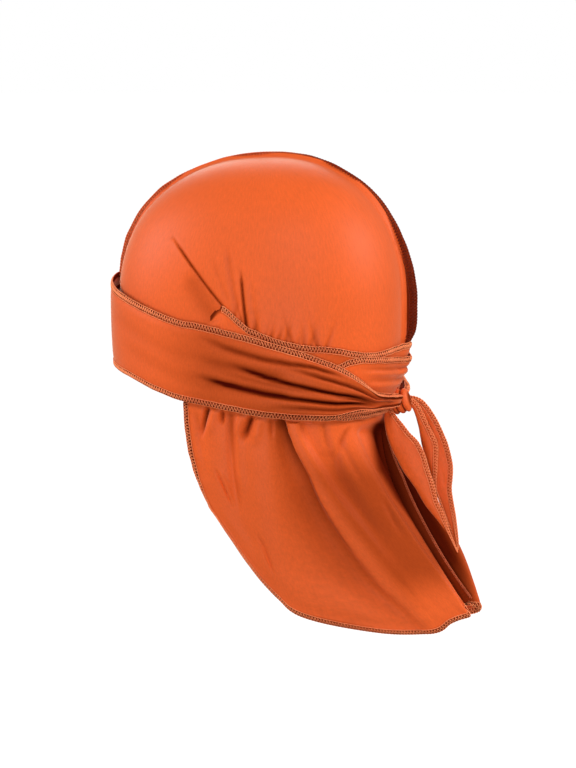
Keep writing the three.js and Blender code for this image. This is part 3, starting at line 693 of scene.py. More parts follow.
def placed(tree, group, **inputs):
    """A node group set in a material with its own values."""
    node = tree.nodes.new("ShaderNodeGroup")
    node.node_tree = group
    for key, value in inputs.items():
        if isinstance(value, (int, float)):
            node.inputs[key].default_value = value
        else:
            tree.links.new(value, node.inputs[key])
    return node


def bumped(tree, shader, height, strength):
    """Raises the surface by a height, a tenth of a millimetre at most."""
    node = tree.nodes.new("ShaderNodeBump")
    node.inputs["Strength"].default_value = strength
    node.inputs["Distance"].default_value = 0.1 * MM
    tree.links.new(height, node.inputs["Height"])
    tree.links.new(node.outputs[0], shader.inputs["Normal"])


def knit_material(name, colour, deep):
    """Dyed stretch knit: fine ribs, a soft low sheen, and painted shade in its folds and under its
    thread.
    """
    made, tree, shader = new_material(name)
    place = tree.nodes.new("ShaderNodeTexCoord").outputs["Object"]
    loops = placed(tree, stitches, Run=read_mark(tree, "run", "Vector"), Wale=WALE, Course=COURSE)
    yarn = placed(tree, dye, Place=place, Depth=0.16)
    fold, edge = read_mark(tree, "fold", "Fac"), read_mark(tree, "edge", "Fac")
    # Painted shade: the colour turns to its shade colour in folds and under the thread.
    in_folds = maths(tree, "MULTIPLY", fold, FOLD_SHADE)
    dark = maths(tree, "MAXIMUM", in_folds, maths(tree, "MULTIPLY", edge, EDGE_SHADE))
    tint = mixed(tree, "MIX", dark, colour, deep)
    rib = maths(tree, "MULTIPLY_ADD", loops.outputs["Height"], 0.035, 0.98)
    rib = maths(tree, "MULTIPLY", rib, maths(tree, "MULTIPLY_ADD", loops.outputs["Streak"], 0.34, 0.83))
    shade = maths(tree, "MULTIPLY", yarn.outputs["Tone"], rib)
    grey = tree.nodes.new("ShaderNodeCombineColor")
    for i in range(3):
        tree.links.new(shade, grey.inputs[i])
    tree.links.new(mixed(tree, "MULTIPLY", 1.0, tint, grey.outputs[0]), shader.inputs["Base Color"])
    rough = maths(tree, "MULTIPLY_ADD", yarn.outputs["Grain"], 0.16, 0.46)
    tree.links.new(rough, shader.inputs["Roughness"])
    # Gloss and sheen fade out where shade is painted.
    unshaded = maths(tree, "MULTIPLY_ADD", dark, -1.0, 1.0)
    unshaded = maths(tree, "MULTIPLY", unshaded, unshaded)
    gloss = maths(tree, "MULTIPLY", unshaded, KNIT_GLOSS)
    tree.links.new(gloss, shader.inputs["Specular IOR Level"])
    sheen = maths(tree, "MULTIPLY", unshaded, KNIT_SHEEN)
    tree.links.new(sheen, shader.inputs["Sheen Weight"])
    shader.inputs["Sheen Roughness"].default_value = 0.32
    shader.inputs["Sheen Tint"].default_value = (1.0, 0.7, 0.5, 1)
    bumped(tree, shader, loops.outputs["Height"], 0.2)
    return made


knit = knit_material("orange stretch knit", KNIT_COLOUR, KNIT_SHADE)
# A panel's columns, as turns from the front, closest at the gathers and the cape's long fold.
# The cape hangs from those behind its front edge.
panel_turns = np.concatenate([
    np.linspace(0, 62, 39)[:-1], np.linspace(62, 92, 67)[:-1],
    np.linspace(92, 134, 82)[:-1], np.linspace(134, 180, 47),
])
CAPE_FIRST = int(np.searchsorted(panel_turns, CAPE_FOLDS["turn"][0]))


def panel(name, far):
    """One panel: crown and cape in one cloth, as a wall with all its edges."""
    tops = crown(panel_turns, far)
    falls = cape(panel_turns[CAPE_FIRST:], far)
    number = numbered(tops[0])
    crown_points = number.size
    number[0, :] = number[0, 0]
    number[-1, :] = number[-1, 0]
    below = crown_points + numbered(falls[0])
    below = np.concatenate([number[CAPE_FIRST:, :1], below], axis=1)
    faces = grid_faces(number) + grid_faces(below, flip=True)
    used = sorted({p for f in faces for p in f})
    order = {p: i for i, p in enumerate(used)}
    faces = [[order[p] for p in f] for f in faces]
    flat = [np.concatenate([a.reshape(-1, *a.shape[2:]), b.reshape(-1, *b.shape[2:])])[used]
            for a, b in zip(tops, falls)]
    outer, inner, run, fold = flat
    edge = np.concatenate([np.zeros(crown_points), edge_of_cape(falls).ravel()])[used]
    side = sided(far)
    marks = {"run": run, "fold": fold, "edge": edge}
    made = cloth(name, outer * side, inner * side, faces, knit, marks)
    return made, (falls[0] * side, falls[1] * side)


def edge_of_cape(falls):
    """1 under the serging along the front edge and the foot of the cape, 0 elsewhere: the painted shade
    under the thread.
    """
    outer = falls[0]
    from_front = np.cumsum(np.linalg.norm(np.diff(outer, axis=0, prepend=outer[:1]), axis=2), axis=0)
    steps = np.linalg.norm(np.diff(outer, axis=1, append=outer[:, -1:]), axis=2)
    from_foot = np.cumsum(steps[:, ::-1], axis=1)[:, ::-1]
    return under_thread(np.minimum(from_front, from_foot), SERGE_WIDTH)


# Serged edges
# Every raw edge is bound by a three-thread overlock: a zigzag of thread over the edge,
# a purl along it, and a row of needle stitches that holds both down.
SERGE_WIDTH = 3.6
STITCH = 2.1
THREAD = 0.34
THREAD_COLOUR = (1.0, 0.32, 0.13)
THREAD_DEEP = (0.66, 0.09, 0.025)


# The thread of the crown's seam turns to its painted shade colour over this stretch towards the back,
# in metres.
REAR_START = 0.018
REAR_SPAN = 0.02


def thread_material(name, colour, deep, behind=None):
    """Dyed overlock thread, lighter and darker along its length, and, when given, a painted shade
    colour towards the back of the crown.
    """
    made, tree, shader = new_material(name)
    place = tree.nodes.new("ShaderNodeTexCoord").outputs["Object"]
    yarn = placed(tree, dye, Place=place, Depth=0.8)
    blend = maths(tree, "MULTIPLY_ADD", yarn.outputs["Tone"], -1.4, 1.65)
    tint = mixed(tree, "MIX", blend, colour, deep)
    if behind:
        axes = tree.nodes.new("ShaderNodeSeparateXYZ")
        tree.links.new(place, axes.inputs[0])
        rear_shade = maths(tree, "MULTIPLY_ADD", axes.outputs["Y"], 1 / REAR_SPAN, -REAR_START / REAR_SPAN)
        tint = mixed(tree, "MIX", rear_shade, tint, behind)
    tree.links.new(tint, shader.inputs["Base Color"])
    rough = maths(tree, "MULTIPLY_ADD", yarn.outputs["Grain"], 0.2, 0.5)
    tree.links.new(rough, shader.inputs["Roughness"])
    shader.inputs["Specular IOR Level"].default_value = 0.12
    bumped(tree, shader, yarn.outputs["Grain"], 0.4)
    return made


thread = thread_material("overlock thread", THREAD_COLOUR, THREAD_DEEP)


def strand(path, normal, radius, sides=3):
    """Points and faces of one thread along a path."""
    ahead = unit(np.gradient(path, axis=0))
    across = unit(np.cross(ahead, normal))
    over = np.cross(across, ahead)
    angle = np.arange(sides) / sides * 2 * np.pi
    ring = np.cos(angle)[:, None] * over[:, None, :] + np.sin(angle)[:, None] * across[:, None, :]
    points = (path[:, None, :] + radius * ring).reshape(-1, 3)
    at = np.arange(len(points)).reshape(len(path), sides)
    at = np.concatenate([at, at[:, :1]], axis=1)
    ends = [at[0, :sides].tolist(), at[-1, :sides][::-1].tolist()]
    return points, grid_faces(at, flip=True) + ends


def serging(name, bands, width=SERGE_WIDTH, material=thread, thick=THREAD):
    """The threads that bind the edges given, each as the rows of cloth beside it."""
    points, faces, count = [], [], 0
    for outer, inner in bands:
        gaps = np.linalg.norm(np.diff(outer[:, 0], axis=0), axis=1)
        run = np.concatenate([[0], np.cumsum(gaps)])
        step = STITCH / 6
        at = np.arange(0, run[-1], step)

        def spread(grid):
            rows = [[np.interp(at, run, grid[:, row, axis]) for axis in range(3)]
                    for row in range(grid.shape[1])]
            return np.stack(rows).transpose(2, 0, 1)

        face, other = spread(outer), spread(inner)
        out = unit(face - other)
        row = np.linalg.norm(face[:, 1] - face[:, 0], axis=1)
        pick = np.arange(len(at))

        def on_cloth(inward, high):
            place = np.clip(np.maximum(inward, 0) / row, 0, face.shape[1] - 1.001)
            low = place.astype(int)
            part = (place - low)[:, None]
            point = face[pick, low] * (1 - part) + face[pick, low + 1] * part
            point = point + unit(face[:, 0] - face[:, 1]) * np.maximum(-inward, 0)[:, None]
            return point + out[:, 0] * high[:, None]

        phase = at / STITCH + 0.12 * ripple(at, 0, 23, 35)
        swing = np.abs(2 * (phase % 1) - 1)
        uneven = 1 + 0.08 * ripple(at, 0, 7, 36)
        arch = np.sin(np.pi * swing)
        looper = on_cloth(width * uneven * swing - 0.3, 0.2 + 0.3 * arch - 0.5 * (swing < 0.1))
        wave = np.sin(2 * np.pi * phase)
        purl = on_cloth(-0.25 + 0.2 * wave, -0.3 + 0.25 * wave)
        needle = on_cloth(width + 0.12 * wave, 0.1 + 0.25 * np.abs(np.sin(np.pi * phase)))
        for path in (looper, purl[::2], needle[::2]):
            made, sides = strand(path, out[::2, 0] if len(path) < len(at) else out[:, 0], thick)
            points.append(made)
            faces += [[p + count for p in f] for f in sides]
            count += len(made)
    return mesh_object(name, np.concatenate(points), faces, material, smooth_below=180)


def slices(grid, side, deep=8):
    """The rows of points beside one side of a cloth's grid, from its edge inward."""
    outer, inner = grid
    picks = {
        "first_row": lambda g: g[:, :deep],
        "last_row": lambda g: g[:, ::-1][:, :deep],
        "first_column": lambda g: g[:deep].transpose(1, 0, 2),
    }
    return picks[side](outer), picks[side](inner)


def sewn(piece, node, slot, threads, rests_on, **sheet):
    """Hides the solid that a cloth stands for."""
    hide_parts(node)


# The panels themselves, each with the thread along its cape's front edge and foot.
for side, far in (("left", False), ("right", True)):
    made, grid = panel(f"{side}_panel_cloth", far)
    free = tuple(g[:, HELD_ROWS:] for g in grid)
    hem_edges = [slices(free, "first_column"), slices(free, "last_row")]
    hem_edges += [(inner, outer) for outer, inner in hem_edges]
    hem_thread = serging(f"{side}_cape_hem_thread", hem_edges)
    sewn(made, f"panel_{side}", "knit", hem_thread, [],
         flat=PANEL_FLAT, area=PANEL_AREA, held="stretched")
PANELS = ["left_panel_cloth", "right_panel_cloth"]


# The ties
# Each tie is a long strap of the same knit, sewn into its panel's side seam. It goes round
# behind, over the front and back again, where it is gathered into the knot low behind.
RUN_OF_TURN = 1.5
WRAP_STEP = 0.9
FIRST_STEP = 1.1
WRAP_ROWS = 46
FIRST_ROWS = 34
VALLEYS = table(
    "start end share end_share bow depth width end_width",
    (76, 126, 0.16, 0.17, 0.07, 2.2, 2.4, 1.4),
    (70, 104, 0.42, 0.42, 0.02, 1.2, 4.5, 3.0), (78, 106, 0.7, 0.67, 0.0, 1.2, 4.5, 3.0),
    (92, 158, 0.41, 0.50, 0.05, 3.6, 1.8, 0.9),
    (74, 158, 0.65, 0.66, 0.04, 3.8, 2.0, 0.9),
    (116, 158, 0.28, 0.34, 0.0, 2.2, 1.5, 0.8),
    (108, 156, 0.86, 0.84, -0.03, 1.8, 1.8, 1.0),
    (132, 158, 0.57, 0.6, 0.0, 2.4, 0.9, 0.7),
    (84, 116, 0.54, 0.56, 0.0, 0.9, 2.0, 1.6),
    (20, 60, 0.3, 0.42, 0.02, 0.5, 6.0, 6.0),
    (30, 74, 0.62, 0.72, 0.0, 0.5, 6.0, 5.0),
)
# How much painted shade the last turns carry as they near the knot, how much painted shade lies
# in their furrows, and the depth in mm at which a furrow's painted shade is full.
BAND_SHADE = 0.32
FURROW_DARK = 0.74
FURROW_FULL = 3.2
# The turn at which each tie starts inside its panel's side seam and the one at which it comes
# out, and the ridges that a tie has where it passes over the standing seam behind, from its
# upper edge down in mm.
START_TURN = 78
TIE_START = 84.5
SEAM_BUMP = 4.2
BACK_RIDGES = table(
    "below rise width",
    (7.5, -1.3, 1.2), (11, 1.2, 1.8), (15, -0.9, 1.5), (19, 1.0, 1.8),
)


def furrows(turn, share, band, shift=0):
    """The long folds that run into the throat of a tie, in mm above the ply below, and their painted
    shade.
    """
    full = 0.5 + 0.5 * smooth(turn, 20, 60) + 2.4 * smooth(turn, 78, 128)
    sunk = 0
    rows = VALLEYS
    for i in range(len(rows["start"])):
        start, end = rows["start"][i] + shift, rows["end"][i]
        t = np.clip((turn - start) / (end - start), 0, 1)
        line = rows["share"][i] + (rows["end_share"][i] - rows["share"][i]) * t
        line = line + rows["bow"][i] * 4 * t * (1 - t)
        width = rows["width"][i] + (rows["end_width"][i] - rows["width"][i]) * t
        shown = window(turn, start - 6, start + 16, end + 4, end + 14)
        sunk = sunk + shown * rows["depth"][i] * bell((share - line) * band, width)
    edges = window(share, 0.02, 0.16, 0.84, 0.98)
    # Painted shade over the last turns and in their furrows, lighter close to the knot's throat.
    shade = BAND_SHADE * smooth(turn, 48, 82) * (1 - 0.6 * smooth(turn, 145, 162))
    deep = FURROW_DARK * (1 - 0.7 * smooth(turn, 140, 160))
    fold = shade + deep * np.clip(sunk / FURROW_FULL, 0, 1) ** 1.1
    return np.maximum(full * edges - sunk, 0), fold


def wrap(rows, start, end, ply, relief, wave, seed, step=WRAP_STEP, across=WRAP_ROWS):
    """A turn of a tie as grids of outer and inner points, with its marks."""
    turns = np.linspace(start, end, int((end - start) / step) + 1)[:, None]
    share = np.linspace(0, 1, across + 1)[None, :]
    length = turns * RUN_OF_TURN
    top = curve(rows, "top", turns) * STRAP_WIDTH + wave * ripple(length, 0, 11, seed)
    bottom = curve(rows, "bottom", turns) * STRAP_WIDTH + wave * ripple(length, 0, 13, seed + 1)
    band = np.maximum(top - bottom, 1)
    z = top - band * share
    turn = turns + 0 * share
    high, fold = relief(turn, share + 0 * turn, band + 0 * share)
    thick = CLOTH * (curve(rows, "bunch", turn) if "bunch" in rows else 1)
    lift = ply(turn) * PLY
    outer = skin(turn, z, lift + thick + high)
    inner = skin(turn, z, lift + np.maximum(high - thick + CLOTH, 0))
    run = np.stack([turn * RUN_OF_TURN, z, 0 * z], axis=-1)
    # The cloth under the thread takes painted shade, standing for the shade between the threads.
    edge = under_thread(np.minimum(share, 1 - share) * band, SERGE_WIDTH)
    return outer, inner, {"run": run, "fold": fold, "edge": edge}


def tie(name, node, grids, far, flat, area, edges, held):
    """One turn of a tie, with the serging along the edges that show."""
    outer, inner, marks = grids
    outer, inner = outer * sided(far), inner * sided(far)
    piece = sheet_of_cloth(name, outer, inner, knit, marks)
    turns = marks["run"][:, 0, 0] / RUN_OF_TURN
    bands = []
    for key, begin, end in edges:
        shown = (turns >= begin) & (turns <= end)
        bands.append(slices((outer[shown], inner[shown]), key))
    threads = serging(f"{name}_thread", bands)
    sewn(piece, node, "knit", threads, PANELS, flat=flat, area=area, held=held)


def showing(ridges):
    """Relief where a tie's upper part shows above the turns that lie over it, with painted shade
    towards the back and in the hollows between its ridges.
    """
    def relief(turn, share, band):
        below = share * band
        free = 1 - smooth(below, 2, 9)
        waves = 0.5 + 0.5 * ripple(turn * RUN_OF_TURN, share * 9, 12, 31)
        high = free * waves * 1.1 * smooth(turn, TIE_START, 96)
        over_seam = bell(turn - 180, 6.5)
        high = high + SEAM_BUMP * over_seam * (1 - smooth(below, 5, 22))
        behind = window(turn, 150, 162, 200, 216)
        # Painted shade towards the back and in the hollows between the ridges.
        closed = 0.25 * window(turn, 122, 140, 160, 172)
        for i in range(len(ridges["below"])):
            line = bell(below - ridges["below"][i], ridges["width"][i]) * behind
            high = high + ridges["rise"][i] * line
            closed = np.maximum(closed, -0.3 * ridges["rise"][i] * line)
        return np.maximum(high, 0), closed
    return relief


def ply_of(rows):
    """The number of layers that a turn of a tie lies on; it starts inside its panel's seam."""
    def ply(turn):
        out = smooth(turn, TIE_START - 4, TIE_START + 3)
        return np.interp(turn, rows["turn"], rows["ply"]) * out - 0.8 * (1 - out)
    return ply


RIGHT_LAST = table(
    "turn top bottom bunch",
    (2, -0.655, -0.7, 1), (14, -0.5, -0.72, 1), (28, -0.2, -0.76, 1), (40, -0.01, -0.81, 1),
    (50, 0.02, -0.87, 1), (62, -0.09, -0.945, 1),
    *zip(*(LEFT_LAST[key][10:] for key in ("turn", "top", "bottom", "bunch"))),
)
NO_RIDGES = {key: values[:0] for key, values in BACK_RIDGES.items()}
KNOT_TURN = 175.2


def left_ply(turn):
    """The number of layers that the left tie's last turn lies on."""
    return np.interp(turn, LEFT_LAST["turn"], LEFT_LAST["ply"])


def right_ply(turn):
    """The same for the right tie, which lies over the left one where the two cross."""
    return np.maximum(3, left_ply(-turn) + 1)


tie("left_tie_first_turn", "strap_left_first_turn",
    wrap(LEFT_FIRST, START_TURN, 286, ply_of(LEFT_FIRST), showing(NO_RIDGES),
         wave=0.45, seed=41, step=FIRST_STEP, across=FIRST_ROWS),
    far=False, flat=(0.064, 0.33), area=0.0135, held="stretched",
    edges=[("first_row", TIE_START, 236)])
tie("right_tie_first_turn", "strap_right_first_turn",
    wrap(RIGHT_FIRST, START_TURN, 396, ply_of(RIGHT_FIRST), showing(BACK_RIDGES),
         wave=0.45, seed=51, step=FIRST_STEP, across=FIRST_ROWS),
    far=True, flat=(0.064, 0.48), area=0.0225, held="stretched",
    edges=[("first_row", TIE_START, 238), ("last_row", 125, 236)])
tie("left_tie_last_turn", "strap_left_last_turn",
    wrap(LEFT_LAST, -72, KNOT_TURN, left_ply, furrows, wave=0.25, seed=61),
    far=False, flat=(0.064, 0.36), area=0.021, held="gathered",
    edges=[("first_row", -50, 180), ("last_row", -50, 180)])
tie("right_tie_last_turn", "strap_right_last_turn",
    wrap(RIGHT_LAST, 2, KNOT_TURN, right_ply, lambda *at: furrows(*at, shift=4),
         wave=0.25, seed=71),
    far=True, flat=(0.064, 0.25), area=0.0118, held="gathered",
    edges=[("first_row", 2, 180), ("last_row", 2, 180)])


# The standing seam
# The two panels are joined wrong side out, so the turned-up edges stand along the crown
# as a soft wavy flap, bound with thread, and go on down the middle of the cape.
SEAM_HEIGHT = 9
SEAM_THICKNESS = 2.0
SEAM_SWAY = 1.6
SEAM_ROWS = 8
SEAM_BINDING = 5.4
SEAM_WAVES = 11
SEAM_STEPS = 330
CAPE_SEAM_HEIGHT = 8
CAPE_SEAM_BINDING = 0.7
CAPE_SEAM_THREAD = 0.2
SEAM_RISE = table(
    "along rise",
    (0, 0.46), (0.12, 0.58), (0.22, 0.42), (0.3, 0.26), (0.42, 0.34), (0.6, 0.36), (0.7, 0.48),
    (0.8, 0.78), (0.88, 1), (0.965, 0.95), (1, 0.4),
)
# The seam's cloth and its threads are darker copies of the knit and the overlock thread: painted shade
# for seams that lie in shade. The crown seam's thread takes more painted shade towards the back.
SEAM_COLOUR = (0.66, 0.09, 0.014)
SEAM_THREAD_COLOUR = (0.8, 0.2, 0.08)
SEAM_THREAD_DEEP = (0.36, 0.045, 0.014)
SEAM_THREAD_SHADE = (0.2, 0.024, 0.008)
CAPE_THREAD_COLOUR = (0.62, 0.13, 0.05)
CAPE_THREAD_DEEP = (0.3, 0.035, 0.012)
seam_cloth = knit_material("seam edge knit", SEAM_COLOUR, KNIT_SHADE)
seam_thread = thread_material("seam thread", SEAM_THREAD_COLOUR, SEAM_THREAD_DEEP, SEAM_THREAD_SHADE)
cape_seam_thread = thread_material("cape seam thread", CAPE_THREAD_COLOUR, CAPE_THREAD_DEEP)


def flap(name, node, feet, tips, sway, dark, binding, material, thick, flat, area):
    """A standing flap of two edges sewn together, from its foot line and its tip line."""
    share = np.linspace(0, 1, SEAM_ROWS + 1)[None, :, None]
    middle = feet[:, None, :] * (1 - share) + tips[:, None, :] * share
    middle[..., 0] += sway[:, None] * share[..., 0] ** 2
    half = SEAM_THICKNESS / 2 * (1 - 0.25 * share[..., 0]) + 0 * sway[:, None]
    left_face, right_face = middle.copy(), middle.copy()
    left_face[..., 0] += half
    right_face[..., 0] -= half
    high = np.linalg.norm(tips - feet, axis=1)[:, None]
    edge = under_thread((1 - share[..., 0]) * high, binding)
    along = np.cumsum(np.linalg.norm(np.diff(feet, axis=0, prepend=feet[:1]), axis=1))[:, None]
    # Painted shade on the flap, as much as dark gives, and painted shade under its thread that deepens
    # where the flap is dark.
    marks = {
        "run": np.stack([along + 0 * edge, share[..., 0] * high, 0 * edge], axis=-1),
        "fold": dark[:, None] * (1 - 0.1 * share[..., 0]),
        "edge": edge * (0.45 + 0.55 * dark[:, None]),
    }
    piece = sheet_of_cloth(name, left_face, right_face, seam_cloth, marks)
    near = slices((left_face, right_face), "last_row")
    threads = serging(f"{name}_thread", [near, near[::-1]], binding, material, thick)
    sewn(piece, node, "serging", threads, PANELS, flat=flat, area=area, held="stretched")


middle, axis, upward = hem_frame()
angles = np.linspace(0.02, np.pi - 0.02, 900)[:, None]
arc = leave(middle, np.sin(angles) * upward - np.cos(angles) * axis, 0.0)
seam_start = LEFT_LAST["top"][5] * STRAP_WIDTH - 6 * CLOTH
seam_end = curve(LEFT_FIRST, "top", 180.0) * STRAP_WIDTH - 3 * PLY
over = angles[:, 0] < np.pi / 2
begin = np.argmax(np.where(over, arc[:, 2] >= seam_start, False))
stop = len(arc) - 1 - np.argmax((arc[:, 2] >= seam_end)[::-1])
angles = np.linspace(angles[begin, 0], angles[stop, 0], SEAM_STEPS)[:, None]
toward = np.sin(angles) * upward - np.cos(angles) * axis
along = np.linspace(0, 1, len(angles))
rise = SEAM_HEIGHT * curve(SEAM_RISE, "rise", along, by="along")
rise = rise + 0.25 * ripple(along * 300, 0, 14, 81)
sway = SEAM_SWAY * np.sin(along * np.pi * SEAM_WAVES) * np.sin(along * np.pi)
sway = sway + 0.3 * ripple(along * 300, 0, 9, 82)
# Painted shade on the crown's seam, rising towards the back.
dark = 0.5 * smooth(along, 0.5, 0.6) + 0.45 * smooth(along, 0.74, 0.88)
flap("crown_seam_flap", "crown_seam", leave(middle, toward, 0.6 * PLY),
     leave(middle, toward, PLY + rise), sway, dark, SEAM_BINDING, seam_thread,
     THREAD, flat=(0.01, 0.31), area=0.0024)

spine = cape_columns(np.array([180.0]), False)[0][3:]
spine = np.stack([0 * spine[:, 0], spine[:, 1], spine[:, 2]], axis=1)
heading = unit(np.gradient(spine, axis=0))
outward = np.stack([0 * spine[:, 0], -heading[:, 2], heading[:, 1]], axis=1)
down = np.linspace(0, 1, len(spine))
tall = (CAPE_SEAM_HEIGHT * np.minimum(1, 0.3 + down * 2.5))[:, None]
# The cape's seam flap lies in painted shade, a little less towards its foot.
flap("cape_seam_flap", "cape_seam", spine + outward * 0.6, spine + outward * (0.8 + tall),
     SEAM_SWAY * np.sin(down * 9), 1 - 0.1 * down, CAPE_SEAM_BINDING, cape_seam_thread,
     CAPE_SEAM_THREAD, flat=(0.01, 0.15), area=0.0012)


# The knot
# The gathered ends are tied once: one end is wound round both and pulled through, which
# leaves a tight roll with a few folds running over it.
KNOT_SPAN = 16
KNOT_DEPTH = 14
KNOT_HEIGHT = 17
KNOT_TILT = math.radians(15)
KNOT_ROLLS = 3
KNOT_SIDES = 72
KNOT_STEPS = 64
KNOT_SHIFT = np.array([0, -1.8, -1.2])
knot_low, knot_high = (np.array(corner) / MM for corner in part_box("knot"))
knot_middle = (knot_low + knot_high) / 2 + KNOT_SHIFT
around, length = np.meshgrid(
    np.linspace(0, 2 * np.pi, KNOT_SIDES + 1)[:-1], np.linspace(-1, 1, KNOT_STEPS + 1), indexing="ij",
)
twist = length + 0.1 * np.sin(around + 0.6) * (1 - length**2)
rolls = np.abs(np.cos(twist * np.pi * KNOT_ROLLS / 2)) ** 0.6
barrel = (0.78 + 0.22 * rolls) * np.sqrt(np.maximum(1 - 0.93 * np.abs(length) ** 6, 0))
barrel = barrel * (1 + 0.025 * ripple(around * 4, length * 6, 3.5, 91))
out, far = KNOT_DEPTH / 2 * length, KNOT_HEIGHT / 2 * barrel * np.cos(around)
knot_points = np.stack([
    knot_middle[0] + KNOT_SPAN / 2 * 0.94 * barrel * np.sin(around),
    knot_middle[1] + out * math.cos(KNOT_TILT) - far * math.sin(KNOT_TILT),
    knot_middle[2] + out * math.sin(KNOT_TILT) + far * math.cos(KNOT_TILT),
], axis=-1)
number = numbered(around)
number = np.concatenate([number, number[:1]])
knot_faces = grid_faces(number) + [number[:-1, 0].tolist(), number[:-1, -1][::-1].tolist()]
knot_run = np.stack([length * 8, around * 8, 0 * length], axis=-1).reshape(-1, 3)
# Painted shade in the grooves between the rolls.
knot_fold_shade = (0.8 * (1 - smooth(rolls, 0.3, 0.75))).ravel()
knot_marks = {"run": knot_run, "fold": knot_fold_shade, "edge": 0 * knot_fold_shade}
knot = mesh_object("knot_wrap", knot_points.reshape(-1, 3), knot_faces, knit, knot_marks)
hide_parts("knot")


# The loose ends
# The ends of the ties hang from the knot. Each is folded in two along its length and narrows
# to a point, with serging down both edges. Reach, fold and widths are shares of the sizes.
TAIL_LENGTH = 112
TAIL_WIDTH = 17
TAIL_GAP = 1.6
TAIL_PUFF = 1.6
TAIL_ROWS = 28
TAIL_STEPS = 120
TAIL_BINDING = 3.0
TAIL_FLAT = (0.034, 0.115)
TAIL_AREA = 0.0020
LEFT_TAIL_START = np.array([5.5, 91, -67.5])
RIGHT_TAIL_START = np.array([-2, 99, -70])
LEFT_TAIL = table(
    "along down back side front behind",
    (0, 0, 0, 0, 0.2, 0.15), (0.045, 0.042, -0.019, 0.01, 0.4, 0.3),
    (0.13, 0.128, -0.019, 0.02, 0.75, 0.55), (0.23, 0.226, 0.007, 0.03, 1.0, 0.7),
    (0.32, 0.311, 0.045, 0.03, 1.18, 0.75), (0.43, 0.413, 0.101, 0.03, 1.15, 0.7),
    (0.54, 0.515, 0.176, 0.03, 0.87, 0.5), (0.65, 0.618, 0.239, 0.03, 0.64, 0.4),
    (0.755, 0.707, 0.314, 0.03, 0.42, 0.28), (0.86, 0.791, 0.377, 0.025, 0.15, 0.13),
    (0.95, 0.87, 0.415, 0.015, 0.07, 0.06), (1, 0.905, 0.433, 0.01, 0.02, 0.02),
)
RIGHT_TAIL = table(
    "along down back side front behind",
    (0, 0, 0, 0, 0.36, 0.36), (0.04, 0, 0.04, -0.01, 0.38, 0.45),
    (0.08, 0.025, 0.065, -0.02, 0.36, 0.6), (0.19, 0.125, 0.095, -0.03, 0.47, 0.85),
    (0.33, 0.26, 0.121, -0.035, 0.7, 1.06), (0.47, 0.395, 0.166, -0.035, 0.39, 1.0),
    (0.59, 0.513, 0.198, -0.03, 0.12, 0.79), (0.67, 0.587, 0.23, -0.025, 0.05, 0.61),
    (0.81, 0.715, 0.28, -0.015, 0.04, 0.44), (0.97, 0.863, 0.338, -0.005, 0.03, 0.16),
    (1, 0.89, 0.348, 0, 0.02, 0.03),
)


def tail(name, node, rows, start, seed):
    """A loose end: a strip folded round its forward side, which narrows to its tip."""
    along = np.linspace(0, 1, TAIL_STEPS)
    read = {key: curve(rows, key, along, "along") for key in rows}
    crease = start + np.stack([read["side"], read["back"], -read["down"]], axis=1) * TAIL_LENGTH
    heading = unit(np.gradient(crease, axis=0))
    across = unit(np.stack([0 * along, -heading[:, 2], heading[:, 1]], axis=1))[:, None, :]
    share = np.linspace(0, 1, TAIL_ROWS + 1)[None, :]
    front, behind = read["front"][:, None] * TAIL_WIDTH, read["behind"][:, None] * TAIL_WIDTH
    reach = -front + (front + behind) * share
    bend = np.sqrt(reach**2 + TAIL_GAP**2)
    middle = crease[:, None, :] + across * (bend - TAIL_GAP)[..., None]
    near = np.clip(-reach / np.maximum(front, 0.1), 0, 1)
    small = np.minimum(1, (front + behind) / TAIL_WIDTH)
    middle[..., 0] -= TAIL_GAP * reach / bend * small
    middle[..., 0] += TAIL_PUFF * np.sin(np.pi * near) * small
    high = np.exp(-along / 0.16)[:, None]
    fallen = along[:, None] * TAIL_LENGTH
    middle[..., 0] += (0.25 + 0.5 * high) * ripple(3 * reach, fallen, 16, seed) * small
    normal = unit(np.cross(np.gradient(middle, axis=1), np.gradient(middle, axis=0)))
    outer, inner = middle + normal * CLOTH / 2, middle - normal * CLOTH / 2
    uneven = 0.5 + 0.5 * ripple(3 * reach, along[:, None] * 30, 9, seed + 5)
    marks = {
        "run": np.stack([reach, 0 * reach - fallen, 0 * reach], axis=-1),
        # Painted shade, heavier near the knot and uneven, and lighter painted shade under the thread.
        "fold": 0.35 * high * uneven,
        "edge": 0.45 * under_thread(np.minimum(share, 1 - share) * (front + behind), TAIL_BINDING),
    }
    piece = sheet_of_cloth(name, outer, inner, knit, marks)
    bands = [slices((outer, inner), "first_row"), slices((outer, inner), "last_row")]
    bands += [pair[::-1] for pair in bands]
    threads = serging(f"{name}_thread", bands, TAIL_BINDING)
    sewn(piece, node, "knit", threads, ["knot_wrap"],
         flat=TAIL_FLAT, area=TAIL_AREA, held="hung")


tail("left_tie_end", "strap_left_tail", LEFT_TAIL, LEFT_TAIL_START, 101)
tail("right_tie_end", "strap_right_tail", RIGHT_TAIL, RIGHT_TAIL_START, 102)


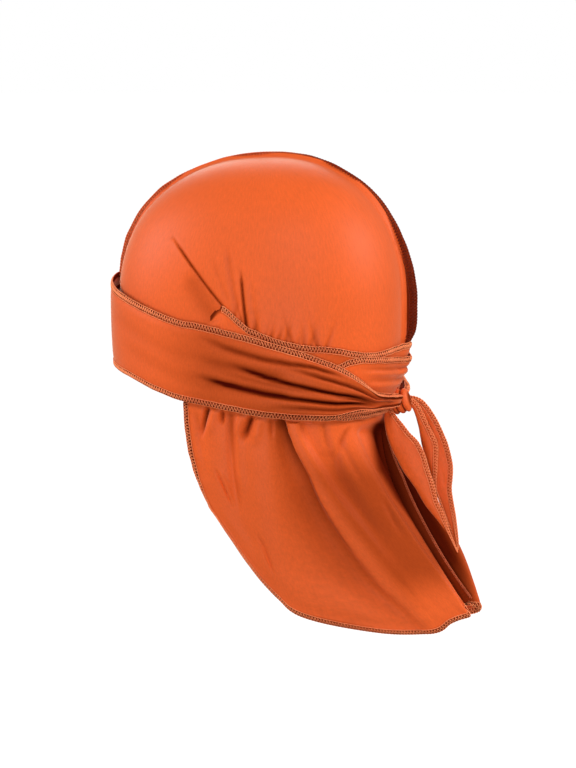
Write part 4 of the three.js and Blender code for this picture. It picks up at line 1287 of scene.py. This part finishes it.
# Floor and light
# A wide pale floor well below the cape, and large soft lights on either side. The floor and
# the room are bright to look at, and throw less light back than they show.
FLOOR_LEVEL = -0.75
FLOOR_GLOW = 0.97
ROOM_GLOW = 1.0
ROOM_LIGHT = 0.24
bpy.ops.mesh.primitive_circle_add(
    vertices=96, radius=60, fill_type="NGON", location=(0, 0, FLOOR_LEVEL),
)
floor = bpy.context.object
floor.name = "studio_floor"
paint, tree, shader = new_material("pale floor")
shader.inputs["Base Color"].default_value = (0.3, 0.3, 0.3, 1)
shader.inputs["Roughness"].default_value = 1.0
shader.inputs["Specular IOR Level"].default_value = 0.0
shader.inputs["Emission Color"].default_value = (1, 1, 1, 1)
seen = tree.nodes.new("ShaderNodeLightPath").outputs["Is Camera Ray"]
tree.links.new(maths(tree, "MULTIPLY", seen, FLOOR_GLOW), shader.inputs["Emission Strength"])
floor.data.materials.append(paint)


def soft_light(name, azimuth, elevation, distance, size, power):
    """A large area light aimed at the cap."""
    a, e = math.radians(azimuth), math.radians(elevation)
    away = Vector((math.sin(a) * math.cos(e), -math.cos(a) * math.cos(e), math.sin(e)))
    lamp = bpy.data.objects.new(name, bpy.data.lights.new(name, "AREA"))
    lamp.data.shape = "DISK"
    lamp.data.size = size
    lamp.data.energy = power
    lamp.location = away * distance
    lamp.rotation_mode = "QUATERNION"
    lamp.rotation_quaternion = (-away).to_track_quat("-Z", "Y")
    bpy.context.scene.collection.objects.link(lamp)


# Azimuth and elevation in degrees, distance and size in metres, power in watts.
soft_light("key_light", 108, 34, 2.0, 0.7, 15)
soft_light("front_left_light", 12, 22, 1.8, 0.8, 22)
soft_light("back_right_light", 184, 26, 1.8, 0.8, 23)
soft_light("low_light", 98, -11, 1.8, 0.7, 12)
soft_light("far_side_light", 285, 25, 1.8, 1.2, 12)
room = bpy.data.worlds.new("studio")
room.use_nodes = True
sky = room.node_tree.nodes["Background"]
sky.inputs["Color"].default_value = (1, 1, 1, 1)
seen = room.node_tree.nodes.new("ShaderNodeLightPath").outputs["Is Camera Ray"]
strength = maths(room.node_tree, "MULTIPLY_ADD", seen, ROOM_GLOW - ROOM_LIGHT, ROOM_LIGHT)
room.node_tree.links.new(strength, sky.inputs["Strength"])
bpy.context.scene.world = room
bpy.context.scene.view_settings.view_transform = "Standard"
